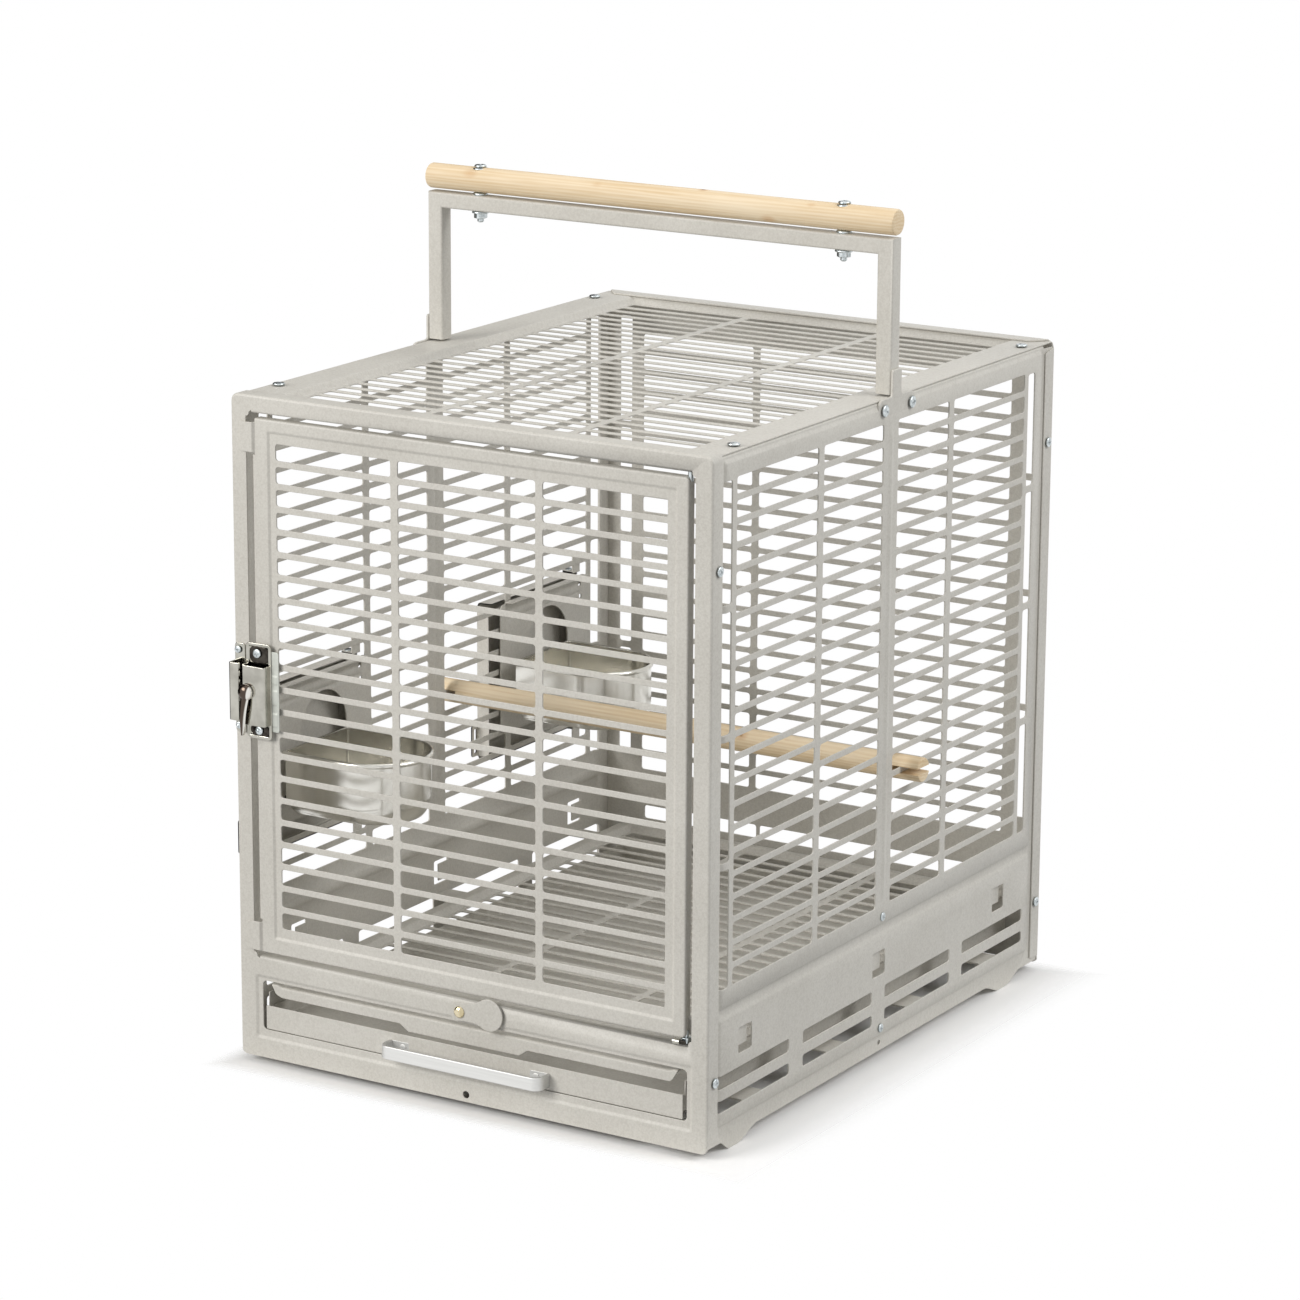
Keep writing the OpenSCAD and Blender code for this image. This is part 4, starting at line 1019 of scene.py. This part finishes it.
def latch():
    """The latch on the door, with u and v measured from the lever's pin, and the keeper."""
    x0, z0 = LATCH_X, LATCH_Z

    def near(y):
        return lambda u, v, h: mm(x0 + u, y - h, z0 + v)

    # Base plate, sunk inside a narrow rim
    relief, lines = pressed((-2.2, -31.2, 14.6, 31.2), -1.2, (1.4, 1.4, 1.4))
    b = Build()
    b.sheet(near(-2.2), rr(-4, -33, 16.4, 33, 3.0, 6),
            [disc(1.2, 28.0, 0.9, 10), disc(1.2, -28.2, 0.9, 10)], lines, relief, t=1.1)
    b.done("latch_plate", CHROME, "door", ["latch_base"])

    # Narrow flange beside the plate with three pressed pads
    pads = [pressed((16.0, v0, 21.2, v1), 0.3, (0.8, 1.6, 1.6)) for v0, v1 in PADS]
    b = Build()
    b.sheet(near(-1.3), rr(14.9, -27.0, 22.0, 28.4, 1.6), (), sum((at for _, at in pads), []),
            lambda u, v: sum(high(u, v) for high, _ in pads), t=0.9, w=0.35)
    b.done("latch_flange", SATIN, "door")

    # Sunk pockets round the two screws; their dark colour is a painted reflection of dark
    # surroundings in the sunk plating
    b = Build()
    b.sheet(near(-1.9), rr(-1.0, 19.4, 13.8, 30.6, 3.4, 6), t=0.9, w=0.3)
    b.sheet(near(-1.9), rr(-1.0, -30.8, 13.8, -23.6, 3.2, 6), t=0.9, w=0.3)
    b.done("latch_pockets_painted_reflection", DARK, "door")

    # Cover: a strip bent back at both sides; the keeper's box is bent in the same way
    bend, thick = 1.6, 1.0
    mean = bend - thick / 2

    def box(u, v, h):
        x, z, depth = wrap(u, v, h, -4.4, 14.6, -BIG, BIG, bend + 0.01, bend, thick)
        return mm(x0 + x, -7.8 + depth, z0 + z)

    far, low, high, left, right = flat_of(5.8, bend, thick), -23, 18, -2.8, 13.0
    lines = fold_lines(left, -mean, low, high, 5) + fold_lines(right, mean, low, high, 5)
    b = Build()
    b.sheet(box, rr(left - far, low, right + far, high, 1.0), [disc(0, 0, 2.4, 16)], lines, t=thick)
    b.done("latch_box", CHROME, "door", ["latch_cover"])

    screw_heads("latch_screw_heads", "door", "latch_screws", [
        ((x0 + 5.4, -2.0, z0 + 26.0), OUT, 3.3, 2.0, 0.3),
        ((x0 + 6.4, -2.0, z0 - 27), OUT, 3.1, 2.0, 0.9)])

    # Keeper: box beside the latch, with a seam of small knuckles, and its two tabs
    b = Build()
    kx0, kx1 = -HW + 1, -HW + 9.2

    def keep(u, v, h):
        x, z, depth = wrap(u, v, h, kx0, BIG, -BIG, BIG, bend + 0.01, bend, thick)
        return mm(x, -9 + depth, z0 + z)

    low, high, left = -21, 19, kx0 + bend
    b.sheet(keep, rr(left - flat_of(8.8, bend, thick), low, kx1, high, 1.0), (),
            fold_lines(left, -mean, low, high, 5), t=thick)
    b.sheet(lambda u, v, h: mm(u, -0.6 - h, z0 + v), rr(kx0, -31, kx1, 31, 2.2, 5))
    for k in range(7):
        z = z0 - 18.5 + 5.6 * k
        b.lathe((kx1 - 0.7, -7.6, z), UP, [(0.9, 0), (1.1, 0.2), (1.1, 3.6), (0.9, 3.8)], 12)
    b.done("keeper_box", CHROME, "frame", ["latch_keeper"])
    screw_heads("keeper_screw_heads", "frame", "keeper_screws", [
        ((-HW + 4.2, -1.2, z0 + 26.5), OUT, 2.6, 1.7, 0.2),
        ((-HW + 4.2, -1.2, z0 - 26), OUT, 2.6, 1.7, 1.1)])

    # Lever: domed boss and a tapering, hollow-backed arm that ends in a flat foot
    b = Build()
    b.lathe((x0, -4.0, z0), OUT,
            [(2.1, 0), (2.1, 4.2), (5.2, 4.3), (5.6, 4.9), (5.6, 5.8), (5.2, 6.9), (4.3, 7.9),
             (2.9, 8.6), (1.2, 8.9)], 32)
    section = [(-1, 0), (-0.95, 0.8), (-0.75, 1.6), (-0.4, 2.1), (0, 2.3), (0.4, 2.0), (0.75, 1.1),
               (1, 0.2), (0.8, -0.5), (-0.8, -0.5)]
    rings = []
    for k in range(15):
        f = k / 14
        z = -1.5 - 28.5 * f
        wide = 3.5 - 2.1 * f if k < 14 else 0.9
        out = 9.4 + 1.5 * sin(pi * min(f * 1.1, 1)) - 0.4 * f
        rings.append([(x0 + wide * u - 2.6 * f, -out - q, z0 + z) for u, q in section])
    b.rings(rings)
    b.lathe((x0, -3.8, z0), OUT, [(3.0, 0), (3.0, 1.6)], 20)
    b.done("latch_arm", LEVER, "lever", ["latch_lever"], own=False, angle=50)


# ---- hinge
def hinge():
    pin_x, pin_y = 167, 4
    b = Build()
    for z0, z1, head in ((442, 449.4, 449.4), (71.1, 81.0, 69.6)):
        b.lathe((pin_x, pin_y, z0), UP, [(1.7, 0), (1.7, z1 - z0)], 20)
        b.lathe((pin_x, pin_y, head), UP, [(2.3, 0), (2.5, 0.3), (2.5, 1.2), (2.3, 1.5)], 20)
    b.done("hinge_posts", ZINC, "frame", ["hinge_pins"], own=False)
    b = Build()
    nut(b, (pin_x, pin_y, 72.5), 3.7, 4.0, 0.2)
    b.done("hinge_hex", ZINC, "frame", ["hinge_nuts"])

    # Short cross bolt in the gap under the leaf
    b = Build()
    x, y, z, length = 160.2, -1.2, 74.3, 5.2
    b.lathe((x, y, z), (1, 0, 0), [(1.6, 0), (1.85, 0.2), (1.85, length - 0.2), (1.6, length)], 24)
    b.done("hinge_sleeve", CHROME, "frame", own=False)
    b = Build()
    thread(b, (x + length, y, z - 0.1), (1, 0, 0), 1.35, 4.4)
    b.done("hinge_cross_bolt", DARK, "frame", own=False)
    # Leaf behind the gap between the door and the stile
    b = Build()
    b.sheet(front_at(5.2), rr(166.4, 88.0, 171.9, 91.0, 0.6))
    b.sheet(front_at(6.4), rr(166.4, 77.5, 172.4, 88.4, 0.4), t=1.0)
    b.done("hinge_leaf", PAINT, "frame")


# ---- feeders
def bowl(name, body, node, y):
    """Steel bowl with one flat side, hung by a strap over the sill of the feeder plate."""
    back, top, r, length, high = -172.5, 206.0, 37.0, 51.0, 43
    y = y - 29.5

    def plan(o, z):
        """D-shaped plan at inset o."""
        q = r - o
        pts = [(back + o, y - q + 1.2), (back + o, y + q - 1.2), (back + o + 1.2, y + q)]
        pts += [(back + length + q * cos(a), y + q * sin(a))
                for a in (pi / 2 - pi * k / 36 for k in range(37))]
        pts += [(back + o + 1.2, y - q)]
        return [(px, py, z) for px, py in pts]

    # Rings by inset and height: bottom, wall, rolled rim and the inside down again
    low = top - high
    prof = [(14, low), (7, low), (5.4, low + 0.5), (3.6, low + 2.6), (1.5, low + 6.6),
            (0.4, low + 10), (0, low + 14), (0, top - 1.6), (-0.9, top - 1.5), (-1.6, top - 0.7),
            (-1.8, top + 0.3), (-1.3, top + 1.3), (-0.3, top + 1.8), (0.6, top + 1.4),
            (0.8, top + 0.4), (0.8, low + 14), (1.2, low + 10.2), (2.3, low + 7), (4.4, low + 3.2),
            (6.2, low + 1.2), (8, low + 0.8), (14, low + 0.8)]
    b = Build()
    b.rings([plan(o, z) for o, z in prof])
    # Strap over the arch's sill and its hanging end
    b.sheet(up_at(190.9), rr(-185.7, y + 14, back + 0.6, y + 32, 0.8), t=1.1)
    b.sheet(right_at(-185.2), rr(y + 14, 176.3, y + 32, 191.4, 0.8), t=1.0)
    b.done(name, STEEL, body, [node], own=False, angle=50)


def feeder_plate(name, node, y):
    """Plate inside the left wall with an arched opening."""
    z0 = FEEDER_Z
    half = 27.5
    cy, cz = y - 5.5, z0 + 74.5
    hole = arc(cy, cz, half, 0, 180, 18) + [(cy - half, z0 + 57), (cy + half, z0 + 57)]

    def place(u, v, h):
        _, z, depth = wrap(u, v, h, -BIG, BIG, -BIG, z0 + 117, PLAIN)
        return mm(-184.2 + depth, u, z)

    far = flat_of(7)
    top = z0 + 117 - BEND + far
    outer = [(y - 66.5, z0 + 19), (y + 46.5, z0 + 19), (y + 48.5, z0 + 21), (y + 48.5, z0 + 113),
             (y + 46.5, z0 + 115), (y + 42, z0 + 115.3), (y + 42, top), (y - 62, top),
             (y - 62, z0 + 115.3), (y - 66.5, z0 + 115), (y - 68.5, z0 + 113),
             (y - 68.5, z0 + 21)]

    # Two beads along the top
    beads = (103.5, 110.0)

    def relief(u, v):
        made = np.zeros_like(u)
        for r in beads:
            made = made - 0.9 * (np.exp(-((v - z0 - r) / 1.5) ** 2) * sstep((u - y + 61) / 4)
                                 * sstep((y + 41 - u) / 4))
        return made

    lines = bend_lines(-BIG, BIG, -BIG, z0 + 117, PLAIN)
    for r in beads:
        lines += [[(y - 61, z0 + r + d), (y + 41, z0 + r + d)]
                  for d in (-3, -1.8, -0.9, 0, 0.9, 1.8, 3)]
    lines += [[(y + d, z0 + 100), (y + d, z0 + 114)] for d in (-61, -59, -57, 37, 39, 41)]
    b = Build()
    spots = [rr(y + 37, z0 + 108.5, y + 40.2, z0 + 112, 0.8),
             rr(y + 38, z0 + 99, y + 41, z0 + 102, 0.8)]
    b.sheet(lambda u, v, h: place(u, v, -h), outer, [hole] + spots, lines, relief)
    b.done(name, PAINT, "frame", [node])

    # Dark clip beside the bowl
    b = Build()
    path = [(y - 44.5, z0 + 60), (y - 43.6, z0 + 54), (y - 43.4, z0 + 46), (y - 46.5, z0 + 40.5),
            (y - 50.5, z0 + 37.5)]
    x = -180.6
    b.rings([[(*at, v) for at in disc(x, u, 1.3, 12)] for u, v in path])
    b.lathe((x, y - 51.5, z0 + 35), UP,
            [(0.9, 0), (1.9, 0.6), (2.4, 2.0), (1.9, 3.4), (0.9, 4.0)], 16)
    b.done(name + "_clip", DARK, "frame", own=False)


def feeder_door(name, body, node, y):
    """Outer door over a feeder, folded back on three sides."""
    z0, high, wide = FEEDER_Z, 118.0, 120.0
    py = y + FEEDER_PIN_DY
    y0, y1 = py + 2.5 - wide, py + 2.5

    def place(u, v, h):
        a, z, depth = wrap(u, v, h, y0, BIG, z0, z0 + high, 3.0)
        return mm(-197.0 + depth, a, z)

    far = flat_of(10.8)
    inset = BEND - far
    outer = [(y0 + 4, z0 + inset), (y1, z0 + inset), (y1, z0 + high - inset),
             (y0 + 4, z0 + high - inset), (y0 + 2.0, z0 + high - 2), (y0 + inset, z0 + high - 4),
             (y0 + inset, z0 + 4), (y0 + 2.0, z0 + 2)]
    relief, lines = pressed((y0 + 9, z0 + 9, y1 - 9, z0 + high - 9), -1.2, (3, 3, 3))
    b = Build()
    b.sheet(place, outer, (), bend_lines(y0, BIG, z0, z0 + high, 3.0) + lines, relief)
    # Hinge side's flange
    b.sheet(front_at(py + 2.0), rr(-196.6, z0 + 0.8, -186.8, z0 + high - 0.8, 0.8), t=1.0)
    # Finger tab with its slot
    tab_y = py - wide
    b.sheet(lambda u, v, h: mm(-196.4 - h, u, v), rr(tab_y - 5, z0 + 3, tab_y + 6, z0 + 27, 2.0),
            [rr(tab_y - 2.2, z0 + 5.5, tab_y + 1, z0 + 24, 1.4)])
    # Ears round the pin
    for z in (z0 + 0.5, z0 + high - 0.5):
        b.sheet(lambda u, v, h, z=z: mm(FEEDER_PIN_X - v, py + u, z + h),
                [(-14, -5.2), (0, -5)] + arc(0, 0, 5, -80, 80, 8) + [(0, 5), (-14, 4.5)],
                [disc(0, 0, 1.65, 12)], t=1.0, w=0.3)
    b.done(name, PAINT, body, [node])


def feeder_hinges():
    b = Build()
    pins = Build()
    ear = [(5, 6.2), (5, 0)] + arc(0, 0, 5, 0, -180, 10)[1:-1] + [(-5, 0), (-5, 6.2)]
    for _, y in FEEDERS:
        py = y + FEEDER_PIN_DY
        for z, low, high in ((131.1, 119.1, 132.6), (251.4, 251.4, 264.9)):
            b.sheet(lambda u, v, h, z=z: mm(FEEDER_PIN_X + v, py + u, z + 0.75 + h),
                    ear[::-1], [disc(0, 0, 1.7, 12)], t=1.5)
            b.sheet(left_at(185.9), rr(DEPTH - py - 5, low, DEPTH - py + 5, high, 1.2), t=1.0)
        for z in (130.1, 252.9):
            pins.lathe((FEEDER_PIN_X, py, z), UP,
                       [(2.6, 0), (3.0, 0.2), (3.0, 0.9), (2.7, 1.1)], 20)
        for z in (131, 248):
            pins.lathe((FEEDER_PIN_X, py, z), UP, [(1.6, 0), (1.6, 5)], 16)
    b.done("feeder_ears", PAINT, "frame", ["feeder_hinges"])
    pins.done("feeder_pin_heads", ZINC, "frame", ["feeder_pins"], own=False)


# Knots in the grip's wood: place and radius
KNOTS_GRIP = [(-0.148, -0.002, 0.586, 0.0022), (-0.045, -0.0005, 0.5875, 0.0016),
              (0.036, 0.0075, 0.5875, 0.0012), (0.122, 0.001, 0.588, 0.0014),
              (0.090, -0.0005, 0.5715, 0.0018)]
WOOD = material("pale_wood", pine(knots=KNOTS_GRIP), Specular_IOR_Level=0.35)
PERCH_WOOD = material("pale_wood", pine(knots=[(0.06, 0.025, 0.207, 0.0015)]),
                      Specular_IOR_Level=0.3)

front_panel()
back_panel()
side_panel(True)
side_panel(False)
top_panel()
floor_grate()
door_panel()
fasteners()
tube_u()
wooden()
tray()
turn_tab()
latch()
hinge()
for end, middle in FEEDERS:
    bowl(f"bowl_{end}_steel", end + "_bowl", "bowl_" + end, middle)
    feeder_plate("plate_" + end, "feeder_plate_" + end, middle)
    feeder_door("flap_" + end, end + "_feeder", "feeder_door_" + end, middle)
feeder_hinges()

# The hidden ledges stay as built and take the paint
for node in ("floor_ledges", "tray_ledges"):
    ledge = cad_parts[node]
    ledge.data.materials.clear()
    ledge.data.materials.append(PAINT)


# ---- stage, light, camera
def flat_material(name, colour, rough):
    m = bpy.data.materials.new(name)
    m.use_nodes = True
    shader = m.node_tree.nodes["Principled BSDF"]
    shader.inputs["Base Color"].default_value = colour
    shader.inputs["Roughness"].default_value = rough
    return m, shader


def stage_sheet(name, mat, size, turn=0.0, at=(0, 0, 0)):
    """A square sheet of the studio."""
    bm = bmesh.new()
    bmesh.ops.create_grid(bm, x_segments=1, y_segments=1, size=size)
    bmesh.ops.rotate(bm, verts=bm.verts, matrix=Matrix.Rotation(turn, 3, "Y"))
    bmesh.ops.translate(bm, verts=bm.verts, vec=at)
    mesh = bpy.data.meshes.new(name)
    bm.to_mesh(mesh)
    bm.free()
    mesh.materials.append(mat)
    ob = link(name, mesh)
    return ob


def stage():
    m, shader = flat_material("floor_white", (0.96, 0.955, 0.945, 1), 0.9)
    shader.inputs["Specular IOR Level"].default_value = 0.1
    where = m.node_tree.nodes.new("ShaderNodeTexCoord")
    p = Sock(m.node_tree, where.outputs["Object"])
    # The floor is there round the carrier's foot and fades out a short way beyond it
    x, y, _ = p.xyz()
    half_x, half_y = 0.184, 0.232
    right, left = (x - half_x) / 0.056, (x * -1.0 - half_x) / 0.02
    ends = (y.math("ABSOLUTE", y) - half_y) / 0.024
    far = right.most(left).most(ends).most(0.0)
    m.node_tree.links.new((1.0 - far.step(0.0, 1.0)).out, shader.inputs["Alpha"])
    stage_sheet("floor", m, 9)

    # White for what the camera and the bright parts see, dimmer as a light
    world = bpy.data.worlds.new("studio")
    bpy.context.scene.world = world
    world.use_nodes = True
    tree = world.node_tree
    tree.nodes.clear()
    path = tree.nodes.new("ShaderNodeLightPath")
    start = Sock(tree, path.outputs["Is Camera Ray"])
    start = start.most(Sock(tree, path.outputs["Is Glossy Ray"]))
    dim = start.node("ShaderNodeBackground", {}, {"Color": (0.98, 0.99, 1.0, 1),
                                                  "Strength": 0.37})
    white = start.node("ShaderNodeBackground", {}, {"Color": (1, 1, 1, 1), "Strength": 1.0})
    both = start.node("ShaderNodeMixShader", {}, {0: start, 1: dim, 2: white})
    out = tree.nodes.new("ShaderNodeOutputWorld")
    tree.links.new(both.out, out.inputs["Surface"])


def dark_card():
    """Dark wall at the left that only shows in the plated parts."""
    m, _ = flat_material("card_dark", (0.035, 0.03, 0.025, 1), 1.0)
    card = stage_sheet("card", m, 1.2, radians(90), (-1.05, 0.45, 1.15))
    card.visible_camera = False
    card.visible_diffuse = False
    card.visible_shadow = False
    card.visible_transmission = False


def area_light(name, at, to, size, power, colour=(1, 1, 1)):
    data = bpy.data.lights.new(name, "AREA")
    data.shape = "RECTANGLE"
    data.size, data.size_y = size
    data.energy = power
    data.color = colour
    ob = link(name, data)
    ob.location = at
    ob.rotation_euler = (Vector(to) - Vector(at)).to_track_quat("-Z", "Y").to_euler()


def camera():
    """Solved from the corners of the body in the photograph: angles, place and lens."""
    az, el, roll = (radians(a) for a in (31.538, 14.556, 0.328))
    at = Vector((1.6232, -2.6443, 1.0710))
    fwd = Vector((-sin(az) * cos(el), cos(az) * cos(el), -sin(el)))
    right = Vector((cos(az), sin(az), 0))
    up = right.cross(fwd)
    r = right * cos(roll) + up * sin(roll)
    u = up * cos(roll) - right * sin(roll)
    data = bpy.data.cameras.new("camera")
    data.sensor_width = 36
    data.lens = 128.53
    data.clip_end = 100
    ob = link("camera", data)
    ob.matrix_world = Matrix(((r.x, u.x, -fwd.x, at.x), (r.y, u.y, -fwd.y, at.y),
                              (r.z, u.z, -fwd.z, at.z), (0, 0, 0, 1)))
    bpy.context.scene.camera = ob


stage()
dark_card()
area_light("key", (-1.6, -2.9, 1.7), (0, 0, 0.25), (1.8, 1.8), 90, (1, 0.985, 0.965))
area_light("top", (0.2, 0.2, 3.0), (0, 0, 0.3), (2.4, 2.4), 14)
area_light("side", (2.9, 0.6, 2.6), (0, 0, 0.25), (1.6, 1.6), 62)
camera()
bpy.context.scene.view_settings.view_transform = "Standard"
